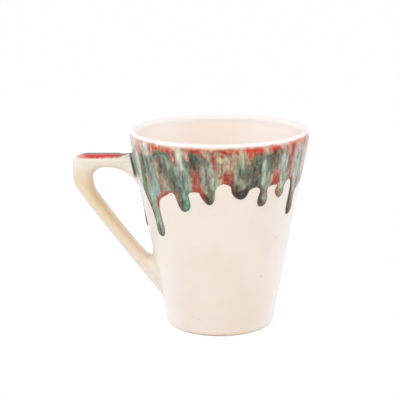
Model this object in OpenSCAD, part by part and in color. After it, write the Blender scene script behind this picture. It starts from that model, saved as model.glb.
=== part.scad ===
// Stoneware mug: a straight tapering cup with an angular strap handle and a
// run glaze that hangs in drips below the lip. The cup's axis is Z, the foot
// stands on Z = 0 and the handle points to -X. All sizes are millimetres.

/* [Cup] */
// Height from the table to the top of the lip
cup_h = 101.6; // [90:0.2:115]
// Outer radius of the cup at its widest, just below the lip
rim_r = 45; // [41:0.2:50]
// Outer radius of the cup just above the foot's rounding
foot_r = 27.6; // [24:0.2:31]
// Thickness of the wall
wall = 3.8; // [3:0.1:5]
// Height of the floor inside, above the table
floor_z = 6.5; // [5:0.1:9]
// Rounding of the foot's outer edge
foot_round = 3; // [1.5:0.1:4]
// Radius where the floor turns up into the wall
floor_round = 9; // [5:0.1:12]
// Height of the rounding on the outside of the lip
lip_rise = 4.7; // [3:0.1:6]
// How far the lip leans in over that height
lip_lean = 1.2; // [0.6:0.1:1.6]
// Height of the rounding on the inside of the lip
lip_drop = 3; // [1.5:0.1:5]
// Radius of the turned hollow under the foot
hollow_r = 19; // [14:0.1:20]
// Depth of that hollow
hollow_d = 1.4; // [0.6:0.1:2]
// Slope of the hollow's edge, measured along the table
hollow_slope = 1.6; // [0.5:0.1:2.5]

/* [Handle] */
// How far the handle's outer face stands out from the rim
handle_out = 29.6; // [26:0.2:35]
// Drop from the top of the lip to the arm's top face
arm_drop = 12.7; // [11.5:0.1:16]
// Thickness of the arm where it is thinnest, above the finger gap
arm_t = 6.5; // [5.5:0.1:8]
// How much further down the arm's underside lies where the upper joint begins
arm_dip = 0.35; // [0:0.05:0.6]
// Width of the strap
strap_w = 13; // [10:0.1:15]
// Thickness of the squared-off corner, from its outer face to the finger gap
heel_t = 10.4; // [9.5:0.1:12]
// Radius of the outer top corner
corner_r = 5.2; // [3:0.1:7]
// Length of the finger gap's rounding in the corner, along the arm
gap_run = 7; // [5:0.1:8]
// Height of that rounding
gap_drop = 5.2; // [4:0.1:6.5]
// Length of the upright outer face between the corner and the turn into the leg
upright = 5.8; // [4:0.1:8]
// Radius of that turn
heel_r = 11; // [8:0.1:13]
// How far down the leg the finger gap's inner edge goes on turning
turn_l = 4.5; // [3:0.1:6]
// Thickness of the slanting leg
leg_t = 6.8; // [6:0.1:8]
// Height at which the leg's outer face, carried on straight, meets the wall
leg_low = 13.4; // [11:0.1:17]
// How far the leg bows outward at its middle
leg_bow = 0.3; // [0:0.1:0.8]

/* [Joints] */
// Length of the upper joint, as a share of the way from the wall to the finger gap's rounding
upper_share = 0.73; // [0.6:0.01:0.8]
// How far the upper joint runs down the wall below the arm
upper_run = 10.5; // [8:0.1:12]
// How far it runs up the wall above the arm
upper_lift = 1.6; // [0.5:0.1:1.6]
// Place of the bend in its underside, as a share of the joint's length from the wall
upper_bend_share = 0.32; // [0.2:0.01:0.45]
// How far below the arm that bend lies
upper_bend_drop = 2.2; // [1:0.1:3]
// Length of the lower joint, as a share of the leg's outer face
lower_share = 0.47; // [0.4:0.01:0.52]
// Place of the bend in its outer side, as a share of the joint's length from the leg
lower_bend_share = 0.8; // [0.7:0.01:0.9]
// How far above the leg's straight line its outer side comes onto the wall
lower_rise = 3.6; // [2:0.1:5]
// How far it runs up the wall past the leg's inner edge
lower_lift = 13.2; // [10:0.1:15]
// Width of both joints where they meet the wall
joint_w = 16.4; // [15:0.1:18]

/* [Glaze] */
// Thickness of the run glaze over most of the band
glaze_t = 0.4; // [0.3:0.05:0.6]
// Thickness where a run has gathered at its tip
tip_t = 0.9; // [0.7:0.05:1.2]
// Thickness at the very edge
edge_t = 0.12; // [0.08:0.01:0.2]
// Distance over which the edge rounds up to full thickness
bead_w = 1.5; // [1:0.1:2.5]
// Length of the swelling above a tip
bead_l = 7; // [4:0.5:10]
// Height of bare lip above the band
lip_bare = 2.3; // [2:0.1:3.5]
// Bare clay between the upper joint and the band that passes round it
joint_bare = 1.5; // [1:0.1:2.5]
// Length of the single run that hangs below the upper joint
lone_l = 19.2; // [15:0.1:21]
// Waviness of the band's upper edge
top_wave = 0.3; // [0:0.05:0.4]
// Thickness of the stroke along the arm
stroke_t = 0.5; // [0.3:0.05:0.8]

/* [Hidden] */
$fn = 96;

// Clearance between a glaze layer and the faceted clay it lies on
glaze_gap = 0.02;
// How deep a joint is carried into the wall before the wall trims it
bury = 2.4;

// Hanging runs, in order round the cup from the handle: place in degrees, height
// of the tip as a share of the cup's height, half width in degrees
run_shares = [
    [219.5, 0.507, 4.2], [245.8, 0.663, 4.0], [263.0, 0.704, 4.4],
    [284.5, 0.725, 5.6], [300.0, 0.687, 3.9], [316.3, 0.713, 3.6],
    [330.5, 0.606, 4.0], [366.0, 0.655, 4.6], [384.0, 0.590, 4.0],
    [402.0, 0.700, 4.4], [419.0, 0.640, 4.2], [437.0, 0.540, 4.0],
    [455.0, 0.680, 5.0], [472.0, 0.720, 3.8], [488.0, 0.600, 4.2],
    [505.0, 0.690, 4.0]];
// The arch after each of those runs but the last: place in degrees, height of the
// top as a share of the cup's height, half width in degrees
arch_shares = [
    [232.6, 0.751, 8.0], [254.2, 0.766, 2.8], [273.3, 0.810, 4.6],
    [293.2, 0.776, 1.8], [308.0, 0.768, 3.2], [324.0, 0.787, 1.6],
    [348.0, 0.752, 9.0], [375.4, 0.770, 3.2], [393.0, 0.760, 3.4],
    [410.6, 0.790, 2.8], [428.4, 0.760, 3.6], [446.0, 0.780, 3.2],
    [464.4, 0.770, 2.6], [480.0, 0.790, 2.6], [497.0, 0.765, 2.8]];
// Height of a rounded tip or arch, as a share of its half width in millimetres
round_share = 1.15;
// Rows of the band up the wall, as shares of the height from its edge
row_shares = [0, 0.025, 0.08, 0.2, 0.5, 1];
// Widest step between two columns of the band, in degrees
step = 5;

// Slope of the wall, and its outer radius at a height
cone_top = cup_h - lip_rise;
slope = (rim_r - foot_r)/(cone_top - foot_round);
function wall_r(z) = foot_r + slope*(z - foot_round);
// Outer radius of the lip at a height above the straight wall
function lip_r(z) = rim_r - lip_lean*(1 - sqrt(max(0, 1 - pow((z - cone_top)/lip_rise, 2))));
function out_r(z) = z > cone_top ? lip_r(z) : wall_r(z);
// A point of the wall's outline on the handle's side
function wall_at(z) = [-wall_r(z), z];

function mix(a, b, t) = a + (b - a)*t;
function bend(a, b, c, t) = mix(mix(a, b, t), mix(b, c, t), t);
function arc(c, rx, rz, a0, a1, n) =
    [for (i = [0:n]) let (a = mix(a0, a1, i/n)) c + [rx*cos(a), rz*sin(a)]];

// Cup

foot_arc = arc([foot_r - foot_round, foot_round], foot_round, foot_round, -90, 0, 8);
lip_out = arc([rim_r - lip_lean, cone_top], lip_lean, lip_rise, 0, 90, 10);
lip_in_r = rim_r - wall;
lip_in_w = rim_r - lip_lean - lip_in_r;
lip_in = arc([lip_in_r + lip_in_w, cup_h - lip_drop], lip_in_w, lip_drop, 90, 180, 8);
// The inside wall is parallel to the outside, and turns into the floor on an arc
in_low = lip_in_r - slope*(cup_h - lip_drop - floor_z);
lean = atan(slope);
floor_c = [in_low - floor_round*tan(45 - lean/2), floor_z + floor_round];
floor_arc = arc(floor_c, floor_round, floor_round, -lean, -90, 10);

module cup_solid() {
    rotate_extrude() polygon(concat([[0, 0]], foot_arc, lip_out, [[0, cup_h]]));
}

module cup_body() {
    color([0.93, 0.89, 0.84]) rotate_extrude() polygon(concat(
        [[0, hollow_d], [hollow_r - hollow_slope, hollow_d], [hollow_r, 0]],
        foot_arc, lip_out, lip_in, floor_arc, [[0, floor_z]]));
}

// Strap

// Sides of the strap's section, and how square it is: 2 is an ellipse
sides = 28;
square = 2.5;
function soft(v) = sign(v)*pow(abs(v), 2/square);
// One section of the strap, between an outer and an inner point of its outline
function ring(o, i, w) = let (m = (o + i)/2, h = (o - i)/2)
    [for (k = [0:sides - 1]) let (a = 360*k/sides)
        [m[0] + h[0]*soft(cos(a)), w*soft(sin(a))/2, m[1] + h[1]*soft(cos(a))]];

function flat(lists) = [for (a = lists) for (b = a) b];
function side_faces(rows, n) = [for (j = [0:rows - 2]) for (k = [0:n - 1])
    let (a = j*n + k, b = j*n + (k + 1) % n) each [[a, b, b + n], [a, b + n, a + n]]];

module loft(rings) {
    n = sides;
    last = (len(rings) - 1)*n;
    polyhedron(points = flat(rings), faces = concat(
        [[for (k = [n - 1:-1:0]) k]], side_faces(len(rings), n),
        [[for (k = [0:n - 1]) last + k]]));
}

// Key places of the handle's outline, as [x, z]
reach = rim_r + handle_out;
arm_top = cup_h - arm_drop;
arm_low = arm_top - arm_t;
gap_x = heel_t - reach;
gap_c = [gap_x + gap_run, arm_low - gap_drop];
joint_x = mix(wall_r(arm_top), -gap_c[0], upper_share);
arm_o = [-joint_x, arm_top];
arm_i = [-joint_x, arm_low - arm_dip];
arm_mid = [(gap_c[0] - joint_x)/2, arm_low];
corner_c = [corner_r - reach, arm_top - corner_r];
heel_c = [heel_r - reach, arm_top - corner_r - upright];
// The leg's outer face runs from the wall at that height to touch the turn's circle
leg_way = wall_at(leg_low) - heel_c;
leg_lean = 180 + atan2(leg_way[1], leg_way[0]) - acos(heel_r/norm(leg_way));
leg_dir = [sin(leg_lean), -cos(leg_lean)];
leg_out = [-cos(leg_lean), -sin(leg_lean)];
leg_l = sqrt(leg_way*leg_way - heel_r*heel_r)*(1 - lower_share);
leg_o = heel_c + heel_r*leg_out + leg_l*leg_dir;
leg_i = leg_o - leg_t*leg_out;
// The leg's inner face, carried up to the gap's upright edge, and where it starts below
leg_top = heel_c + (heel_r - leg_t)*leg_out;
gap_knee = leg_top + leg_dir*(gap_x - leg_top[0])/leg_dir[0];
gap_low = gap_knee + leg_dir*turn_l;

corner_n = 5;
heel_n = 5;
outer_turn = concat(arc(corner_c, corner_r, corner_r, 90, 180, corner_n),
    arc(heel_c, heel_r, heel_r, 180, 180 + leg_lean, heel_n));
inner_turn = concat(arc(gap_c, gap_run, gap_drop, 90, 180, corner_n + 1),
    [for (i = [1:heel_n]) bend([gap_x, gap_c[1]], gap_knee, gap_low, i/heel_n)]);
turn_n = len(outer_turn);
arm_n = 5;
leg_n = 9;

// The arm, the corner and the leg, each as pairs of an outer and an inner point
arm_pairs = [for (i = [0:arm_n - 1]) [mix(arm_o, outer_turn[0], i/arm_n),
    bend(arm_i, arm_mid, inner_turn[0], i/arm_n)]];
turn_pairs = [for (i = [0:turn_n - 1]) [outer_turn[i], inner_turn[i]]];
leg_pairs = [for (i = [1:leg_n]) let (t = i/leg_n, b = leg_out*leg_bow*sin(180*t))
    [mix(outer_turn[turn_n - 1], leg_o, t) + b, mix(inner_turn[turn_n - 1], leg_i, t) + b]];
handle_rings = [for (p = concat(arm_pairs, turn_pairs, leg_pairs)) ring(p[0], p[1], strap_w)];

module handle() {
    color([0.90, 0.85, 0.74]) loft(handle_rings);
}

// Joints

joint_n = 9;
function spread(t) = mix(strap_w, joint_w, t*t);
function buried(p) = p + [bury, 0];

upper_o = [for (i = [0:joint_n]) bend(arm_o, wall_at(arm_top), wall_at(arm_top + upper_lift),
    i/joint_n)];
upper_bend = mix(wall_at(arm_low), arm_i, upper_bend_share) - [0, upper_bend_drop];
upper_i = [for (i = [0:joint_n]) bend(arm_i, upper_bend, wall_at(arm_low - upper_run),
    i/joint_n)];
upper_rings = [for (i = [joint_n:-1:0]) ring(upper_o[i], upper_i[i], spread(i/joint_n))];
upper_end = ring(buried(upper_o[joint_n]), buried(upper_i[joint_n]), joint_w);

// Where a straight edge of the leg would meet the wall
function meet(p) = p + leg_dir*(-p[0] - wall_r(p[1]))/(leg_dir[0] + slope*leg_dir[1]);
lower_hit_o = meet(leg_o);
lower_hit_i = meet(leg_i);
lower_bend = mix(leg_o, lower_hit_o, lower_bend_share);
lower_o = [for (i = [0:joint_n]) bend(leg_o, lower_bend, wall_at(lower_hit_o[1] + lower_rise),
    i/joint_n)];
lower_i = [for (i = [0:joint_n]) bend(leg_i, lower_hit_i, wall_at(lower_hit_i[1] + lower_lift),
    i/joint_n)];
lower_rings = [for (i = [0:joint_n]) ring(lower_o[i], lower_i[i], spread(i/joint_n))];
lower_end = ring(buried(lower_o[joint_n]), buried(lower_i[joint_n]), joint_w);

module upper_joint() {
    color([0.88, 0.83, 0.72]) difference() {
        loft(concat([upper_end], upper_rings));
        cup_solid();
    }
}

module lower_joint() {
    color([0.88, 0.82, 0.70]) difference() {
        loft(concat(lower_rings, [lower_end]));
        cup_solid();
    }
}

// Run glaze

// The band's lower edge, as [degrees, height]: each arch, then the run after it.
// Neither rounding takes more than half of the height between the two
run_n = len(run_shares);
bow_n = 4;
// The arch over the handle leaves the upper joint bare
handle_arch = [180, (arm_top + upper_lift + joint_bare)/cup_h,
    (joint_w/2 + joint_bare)/wall_r(arm_top)*180/PI];
arches = concat([handle_arch], arch_shares);
function lap(list, i) = let (k = floor(i/run_n), s = list[i - k*run_n])
    [s[0] + 360*k, s[1]*cup_h, s[2]];
function round_h(half, rise) = min(half*PI/180*rim_r*round_share, rise/2);
function bow(place, dir, before, after) = [for (i = [-bow_n:bow_n])
    let (a = 90*i/bow_n, rise = abs(place[1] - (i < 0 ? before : after)))
    [place[0] + place[2]*sin(a), place[1] + dir*(1 - cos(a))*round_h(place[2], rise)]];
function arch_bow(i) = bow(lap(arches, i), -1, lap(run_shares, i - 1)[1],
    lap(run_shares, i)[1]);
function run_bow(i) = bow(lap(run_shares, i), 1, lap(arches, i)[1],
    lap(arches, i + 1)[1]);
edge_all = flat([for (i = [0:run_n - 1]) concat(arch_bow(i), run_bow(i))]);
edge_n = len(edge_all);
edge_round = concat(edge_all, [edge_all[0] + [360, 0]]);
// Long stretches between an arch and a tip get more columns
function split(a, b) = let (n = max(1, ceil((b[0] - a[0])/step)))
    [for (i = [0:n - 1]) mix(a, b, i/n)];
band_edge = flat([for (i = [0:edge_n - 1]) split(edge_round[i], edge_round[i + 1])]);

// Distance on the unrolled wall from a place to the edge nearby
function along(p) = [p[0]*PI/180*rim_r, p[1]];
function seg_gap(p, a, b) = let (d = b - a, l = d*d,
    t = l > 0 ? min(1, max(0, (p - a)*d/l)) : 0) norm(p - a - d*t);
function turned(p, t) = [p[0] + 360*t, p[1]];
function edge_at(edge, i) = let (n = len(edge), k = floor(i/n)) turned(edge[i - k*n], k);
// Columns to each side whose edge is searched for the nearest place
near_n = 14;
function edge_gap(edge, p, c) = min([for (i = [c - near_n:c + near_n - 1])
    seg_gap(along(p), along(edge_at(edge, i)), along(edge_at(edge, i + 1)))]);

// Thickness from the distance to the edge and the height above the tip below
function dome(d) = let (u = min(1, d/bead_w)) sqrt(1 - pow(1 - u, 2));
function thick(d, up) = mix(edge_t, mix(glaze_t, tip_t, exp(-pow(up/bead_l, 2))), dome(d));
function tip_near(a) = let (g = [for (r = run_shares) abs(r[0] - a)], m = min(g))
    [for (i = [0:len(g) - 1]) if (g[i] == m) run_shares[i][1]*cup_h][0];

// The facets stand clear of the round wall by what their width needs
clear = 1/cos(step/2);
function on_wall(a, z, t) = let (r = out_r(z)*clear + t) [r*cos(a), r*sin(a), z];
wave_n = 9;
function band_top(a) = cup_h - lip_bare + top_wave*sin(wave_n*a);
function band_rows(p) = let (top = band_top(p[0])) concat(
    [for (s = row_shares) mix(p[1], cone_top, s)],
    [(cone_top + top)/2, top]);
row_n = len(row_shares) + 2;
col_n = len(band_edge);
band_out = [for (c = [0:col_n - 1]) let (p = band_edge[c], zs = band_rows(p), tip = tip_near(p[0]))
    for (z = zs) on_wall(p[0], z, min(thick(edge_gap(band_edge, [p[0], z], c), z - tip),
        thick(zs[row_n - 1] - z, z - tip)))];
// The back needs only the rows where the wall changes direction
band_in = [for (p = band_edge) let (zs = band_rows(p))
    for (z = [zs[0], zs[row_n - 3], zs[row_n - 2], zs[row_n - 1]]) on_wall(p[0], z, 0)];

// A sheet of glaze: columns of points on its face and on its back, the columns
// side by side round a ring or, where it is open, from one side to the other
module sheet(face, back, cols, open) {
    rows = len(face)/cols;
    backs = len(back)/cols;
    base = len(face);
    pairs = [for (c = [0:cols - (open ? 2 : 1)]) [c, (c + 1) % cols]];
    face_quads = [for (p = pairs) for (r = [0:rows - 2]) let (a = p[0]*rows + r, b = p[1]*rows + r)
        each [[a, b + 1, b], [a, a + 1, b + 1]]];
    back_quads = [for (p = pairs) for (r = [0:backs - 2])
        let (a = base + p[0]*backs + r, b = base + p[1]*backs + r)
        each [[a, b, b + 1], [a, b + 1, a + 1]]];
    low_quads = [for (p = pairs) let (a = p[0]*rows, b = p[1]*rows, d = base + p[0]*backs,
        e = base + p[1]*backs) each [[a, b, e], [a, e, d]]];
    top_quads = [for (p = pairs) let (a = p[0]*rows + rows - 1, b = p[1]*rows + rows - 1,
        d = base + p[0]*backs + backs - 1, e = base + p[1]*backs + backs - 1)
        each [[a, e, b], [a, d, e]]];
    first = concat([for (r = [0:rows - 1]) r], [for (r = [backs - 1:-1:0]) base + r]);
    last = concat([for (r = [rows - 1:-1:0]) (cols - 1)*rows + r],
        [for (r = [0:backs - 1]) base + (cols - 1)*backs + r]);
    polyhedron(points = concat(face, back), faces = concat(face_quads, back_quads, low_quads,
        top_quads, open ? [[for (k = [len(first) - 1:-1:0]) first[k]],
        [for (k = [len(last) - 1:-1:0]) last[k]]] : []));
}

module drip_glaze() {
    color([0.38, 0.50, 0.46]) sheet(band_out, band_in, col_n, false);
}

// The run under the handle, from the joint's lower end down to its own tip: its
// place in degrees and its half width in degrees
lone_share = [184, 2.4];
lone_top = arm_low - upper_run - bead_w/2;
lone_z = lone_top - lone_l;
lone_edge = bow([lone_share[0], lone_z, lone_share[1]], 1, lone_top, lone_top);
lone_n = len(lone_edge);
lone_outline = concat([[lone_edge[0][0], lone_top]], lone_edge,
    [[lone_edge[lone_n - 1][0], lone_top]]);
function lone_gap(p) = min([for (i = [0:len(lone_outline) - 1])
    seg_gap(along(p), along(lone_outline[i]),
        along(lone_outline[(i + 1) % len(lone_outline)]))]);
lone_rows = [for (p = lone_edge) for (s = row_shares) [p[0], mix(p[1], lone_top, s)]];
lone_face = [for (p = lone_rows)
    on_wall(p[0], p[1], thick(lone_gap(p), p[1] - lone_z))];
lone_back = [for (p = lone_edge) each [on_wall(p[0], p[1], 0), on_wall(p[0], lone_top, 0)]];

module under_handle_run() {
    color([0.25, 0.27, 0.25]) sheet(lone_face, lone_back, lone_n, true);
}

// The stroke along the arm lies on the same facets as the strap and its joint. It
// takes this many of the section's sides to each side of the top, and runs from
// the joint's third section to the first one past the arm
stroke_half_n = 4;
stroke_from_n = 2;
stroke_to_n = arm_n + 1;
stroke_rings = concat([for (i = [stroke_from_n:joint_n - 1]) upper_rings[i]],
    [for (i = [0:stroke_to_n]) handle_rings[i]]);
stroke_n = len(stroke_rings);
function middle(rg) = (rg[0] + rg[sides/2])/2;
function lifted(rg, k, t) = let (p = rg[(k + sides) % sides], d = p - middle(rg))
    p + d*t/norm(d);
end_power = 8;
function stroke_dome(i, k) = sqrt(max(0, 1 - pow(k/stroke_half_n, 2)))
    *sqrt(max(0, 1 - pow(abs(2*i/(stroke_n - 1) - 1), end_power)));
stroke_ks = [for (k = [-stroke_half_n:stroke_half_n]) k];
stroke_face = [for (i = [0:stroke_n - 1]) for (k = stroke_ks)
    lifted(stroke_rings[i], k, glaze_gap + mix(edge_t, stroke_t, stroke_dome(i, k)))];
stroke_back = [for (i = [0:stroke_n - 1]) for (k = stroke_ks)
    lifted(stroke_rings[i], k, glaze_gap)];

module handle_glaze() {
    color([0.55, 0.30, 0.24]) sheet(stroke_face, stroke_back, stroke_n, true);
}

cup_body();
handle();
upper_joint();
lower_joint();
drip_glaze();
handle_glaze();
under_handle_run();
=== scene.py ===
import math

import bpy
import numpy as np
from mathutils import Matrix, Vector, kdtree


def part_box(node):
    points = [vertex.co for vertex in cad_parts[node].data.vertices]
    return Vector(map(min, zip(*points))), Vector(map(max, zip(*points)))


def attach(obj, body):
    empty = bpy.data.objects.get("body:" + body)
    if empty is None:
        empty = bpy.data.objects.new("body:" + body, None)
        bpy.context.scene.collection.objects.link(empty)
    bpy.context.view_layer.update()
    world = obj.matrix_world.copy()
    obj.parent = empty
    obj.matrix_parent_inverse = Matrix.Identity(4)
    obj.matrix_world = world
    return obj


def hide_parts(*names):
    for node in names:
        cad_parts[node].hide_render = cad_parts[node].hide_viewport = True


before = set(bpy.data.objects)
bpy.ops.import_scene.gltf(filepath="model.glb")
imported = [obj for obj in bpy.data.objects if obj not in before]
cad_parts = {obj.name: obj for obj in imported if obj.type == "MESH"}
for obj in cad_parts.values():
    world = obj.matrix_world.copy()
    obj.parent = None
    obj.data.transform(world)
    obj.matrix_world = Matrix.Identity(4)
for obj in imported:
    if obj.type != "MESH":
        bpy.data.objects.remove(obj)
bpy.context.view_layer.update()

# Lengths below are millimetres; meshes are made in metres
MM = 0.001

# Sizes taken from the frame: the cup's height and rim, and the handle's reach and top
CUP_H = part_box("cup_body")[1].z / MM
RIM_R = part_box("cup_body")[1].x / MM
REACH = -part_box("handle")[0].x / MM
ARM_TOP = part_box("handle")[1].z / MM

# Cup: a straight wall between the foot and the lip
FOOT_R = 27.6
WALL = 3.8
FLOOR_Z = 6.5
FOOT_ROUND = 3.0
FLOOR_ROUND = 9.0
# How high the lip's outer curve is and how far it leans in, and how deep its inner curve goes
LIP_RISE = 4.7
LIP_LEAN = 1.2
LIP_DROP = 3.0
# The hollow under the foot
HOLLOW_R = 19.0
HOLLOW_D = 1.4
HOLLOW_SLOPE = 1.6
CONE_TOP = CUP_H - LIP_RISE
SLOPE = (RIM_R - FOOT_R) / (CONE_TOP - FOOT_ROUND)
CUP_SEGMENTS = 288

# Handle: the arm's thickness and dip, the strap's width, and the heel with the corner above it
ARM_T = 6.5
ARM_DIP = 0.35
STRAP_W = 13.0
HEEL_T = 10.4
CORNER_R = 5.2
UPRIGHT = 5.8
HEEL_R = 11.0
# The upper corner of the finger gap, and the leg from its turn down to where it meets the wall
GAP_RUN = 7.0
GAP_DROP = 5.2
TURN_L = 4.5
LEG_T = 6.8
LEG_LOW = 13.4
LEG_BOW = 0.3
# Where the joints take over, as shares of the arm's and of the leg's length
UPPER_SHARE = 0.73
LOWER_SHARE = 0.47
# How square the strap's section is (2 is an ellipse), its points, and the sections along the arm and the leg
SQUARE = 2.5
SIDES = 72
ARM_STEPS = 12
LEG_STEPS = 26

# Run glaze: its thickness on the wall, at the tips and at the edge, and how far the edge swells past its line
GLAZE_T = 0.4
TIP_T = 0.9
EDGE_T = 0.1
EDGE_SWELL = 0.3
# The bead: how wide its rounded edge is, how far it reaches up from a tip, and how far to each side
BEAD_W = 1.3
BEAD_L = 6.0
TIP_HALF = 3.6
# The bare strip under the top of the lip
LIP_BARE = 1.5
# The band's grid: its cell, its lowest place and how far under the top of the lip it ends
GRID = 0.36
BAND_LOW = 50.0
BAND_TOP = 0.7
# Where the unrolled wall starts, behind the handle, and the radius that turns degrees into millimetres
SEAM = 167.0
FLAT_R = 41.0
TURN = 2 * math.pi * FLAT_R

SEED = 7


def lerp(a, b, t):
    return a + (b - a) * t


def smooth(low, high, value):
    """0 below low, 1 above high and an S curve between; low may be above high."""
    t = np.clip((value - low) / (high - low), 0.0, 1.0)
    return t * t * (3.0 - 2.0 * t)


def wall_r(z):
    return FOOT_R + SLOPE * (z - FOOT_ROUND)


def out_r(z):
    """Outer radius of the cup at a height, lip included."""
    z = np.asarray(z, float)
    rise = np.clip((z - CONE_TOP) / LIP_RISE, 0.0, 1.0)
    lip = RIM_R - LIP_LEAN * (1.0 - np.sqrt(1.0 - rise**2))
    return np.where(z > CONE_TOP, lip, wall_r(z))


def arc(centre, rx, rz, start, end, steps):
    a = np.radians(np.linspace(start, end, steps + 1))
    return np.stack([centre[0] + rx * np.cos(a), centre[1] + rz * np.sin(a)], axis=1)


# Noise on a ring: it repeats after one turn in u


def lattice(u, v, cells, seed, rows=512):
    """Smooth noise from -1 to 1. u counts turns round the cup, v is any height, cells are lumps in a turn."""
    table = np.random.default_rng(seed).uniform(-1.0, 1.0, (cells, rows))
    x = np.mod(u, 1.0) * cells
    i, j = np.floor(x).astype(int), np.floor(v).astype(int)
    fx, fy = x - i, v - j
    fx, fy = fx * fx * (3 - 2 * fx), fy * fy * (3 - 2 * fy)
    at = lambda a, b: table[np.mod(a, cells), np.mod(b, rows)]
    low = lerp(at(i, j), at(i + 1, j), fx)
    high = lerp(at(i, j + 1), at(i + 1, j + 1), fx)
    return lerp(low, high, fy)


def streaks(deg, z, width, length, seed, octaves=3):
    """Noise drawn out down the wall: lumps about width wide and length long, in millimetres."""
    total, weight = 0.0, 0.0
    for k in range(octaves):
        size = 2.0**k
        cells = max(4, int(TURN / width * size))
        share = 0.62**k
        total = total + share * lattice(deg / 360.0, z / length * size, cells, seed + 31 * k)
        weight += share
    return total / weight


# Meshes


def make_piece(name, points, faces, finish, node, marks=None):
    """A smooth mesh piece that stands for that node. marks are values or colours, one for each point."""
    mesh = bpy.data.meshes.new(name)
    mesh.from_pydata((np.asarray(points) * MM).tolist(), [], faces)
    mesh.polygons.foreach_set("use_smooth", np.ones(len(mesh.polygons), bool))
    for mark, values in (marks or {}).items():
        values = np.asarray(values, np.float32)
        if values.ndim == 1:
            layer = mesh.attributes.new(mark, "FLOAT", "POINT")
            layer.data.foreach_set("value", values)
        else:
            layer = mesh.attributes.new(mark, "FLOAT_COLOR", "POINT")
            rgba = np.concatenate([values, np.ones((len(values), 1), np.float32)], axis=1)
            layer.data.foreach_set("color", rgba.ravel())
    mesh.update()
    mesh.validate()
    piece = bpy.data.objects.new(name, mesh)
    bpy.context.scene.collection.objects.link(piece)
    mesh.materials.append(finish)
    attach(piece, "root")
    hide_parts(node)


def turned(profile, segments):
    """Points and faces of (radius, height) rows turned round Z. An end on the axis is one point."""
    a = np.linspace(0, 2 * math.pi, segments, endpoint=False)
    ring = np.stack([np.cos(a), np.sin(a)], axis=1)
    points, starts = [], []
    for r, z in profile:
        starts.append(len(points))
        if r < 1e-6:
            points.append((0.0, 0.0, z))
        else:
            points.extend((r * c, r * s, z) for c, s in ring)
    faces = []
    for (r0, _), (r1, _), a0, a1 in zip(profile, profile[1:], starts, starts[1:]):
        for k in range(segments):
            n = (k + 1) % segments
            if r0 < 1e-6:
                faces.append((a0, a1 + n, a1 + k))
            elif r1 < 1e-6:
                faces.append((a0 + k, a0 + n, a1))
            else:
                faces.append((a0 + k, a0 + n, a1 + n, a1 + k))
    return points, faces


def skin(rings):
    """Points and faces of closed rings one after another, with separate points for the two caps."""
    count, sides = rings.shape[:2]
    points = rings.reshape(-1, 3)
    faces = [
        (j * sides + k, j * sides + (k + 1) % sides, (j + 1) * sides + (k + 1) % sides, (j + 1) * sides + k)
        for j in range(count - 1)
        for k in range(sides)
    ]
    base = len(points)
    points = np.concatenate([points, rings[0], rings[-1]])
    faces.append(tuple(base + k for k in range(sides - 1, -1, -1)))
    faces.append(tuple(base + sides + k for k in range(sides)))
    return points, faces


# Strap outline and sections


def soft(v):
    """A sine or cosine, changed so that a round section gets squarer."""
    return np.sign(v) * np.abs(v) ** (2.0 / SQUARE)


ANGLES = 2 * math.pi * np.arange(SIDES) / SIDES


def section(outer, inner):
    """One section of the strap between an outer and an inner (x, z) point of its outline."""
    mid, half = (outer + inner) / 2, (outer - inner) / 2
    c, s = soft(np.cos(ANGLES)), soft(np.sin(ANGLES))
    return np.stack([mid[0] + half[0] * c, STRAP_W * s / 2, mid[1] + half[1] * c], axis=1)


# The outline's (x, z) places: arm, finger gap, joint, heel and leg
ARM_LOW = ARM_TOP - ARM_T
GAP_X = HEEL_T - REACH
GAP_C = np.array([GAP_X + GAP_RUN, ARM_LOW - GAP_DROP])
JOINT_X = lerp(wall_r(ARM_TOP), -GAP_C[0], UPPER_SHARE)
HEEL_C = np.array([HEEL_R - REACH, ARM_TOP - CORNER_R - UPRIGHT])
LEG_WAY = np.array([-wall_r(LEG_LOW), LEG_LOW]) - HEEL_C
LEG_FAR = math.hypot(*LEG_WAY)
LEG_LEAN = math.pi + math.atan2(LEG_WAY[1], LEG_WAY[0]) - math.acos(HEEL_R / LEG_FAR)
LEG_DIR = np.array([math.sin(LEG_LEAN), -math.cos(LEG_LEAN)])
LEG_OUT = np.array([-math.cos(LEG_LEAN), -math.sin(LEG_LEAN)])
LEG_L = math.sqrt(LEG_FAR**2 - HEEL_R**2) * (1 - LOWER_SHARE)
LEG_O = HEEL_C + HEEL_R * LEG_OUT + LEG_L * LEG_DIR
LEG_I = LEG_O - LEG_T * LEG_OUT
# The leg's inner face, carried up to the gap's upright edge, and where it starts below
LEG_TOP = HEEL_C + (HEEL_R - LEG_T) * LEG_OUT
GAP_KNEE = LEG_TOP + LEG_DIR * (GAP_X - LEG_TOP[0]) / LEG_DIR[0]
GAP_LOW = GAP_KNEE + LEG_DIR * TURN_L


def bend(a, b, c, t):
    """A curve from a to c that leaves and arrives towards b."""
    return lerp(lerp(a, b, t), lerp(b, c, t), t)


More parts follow.
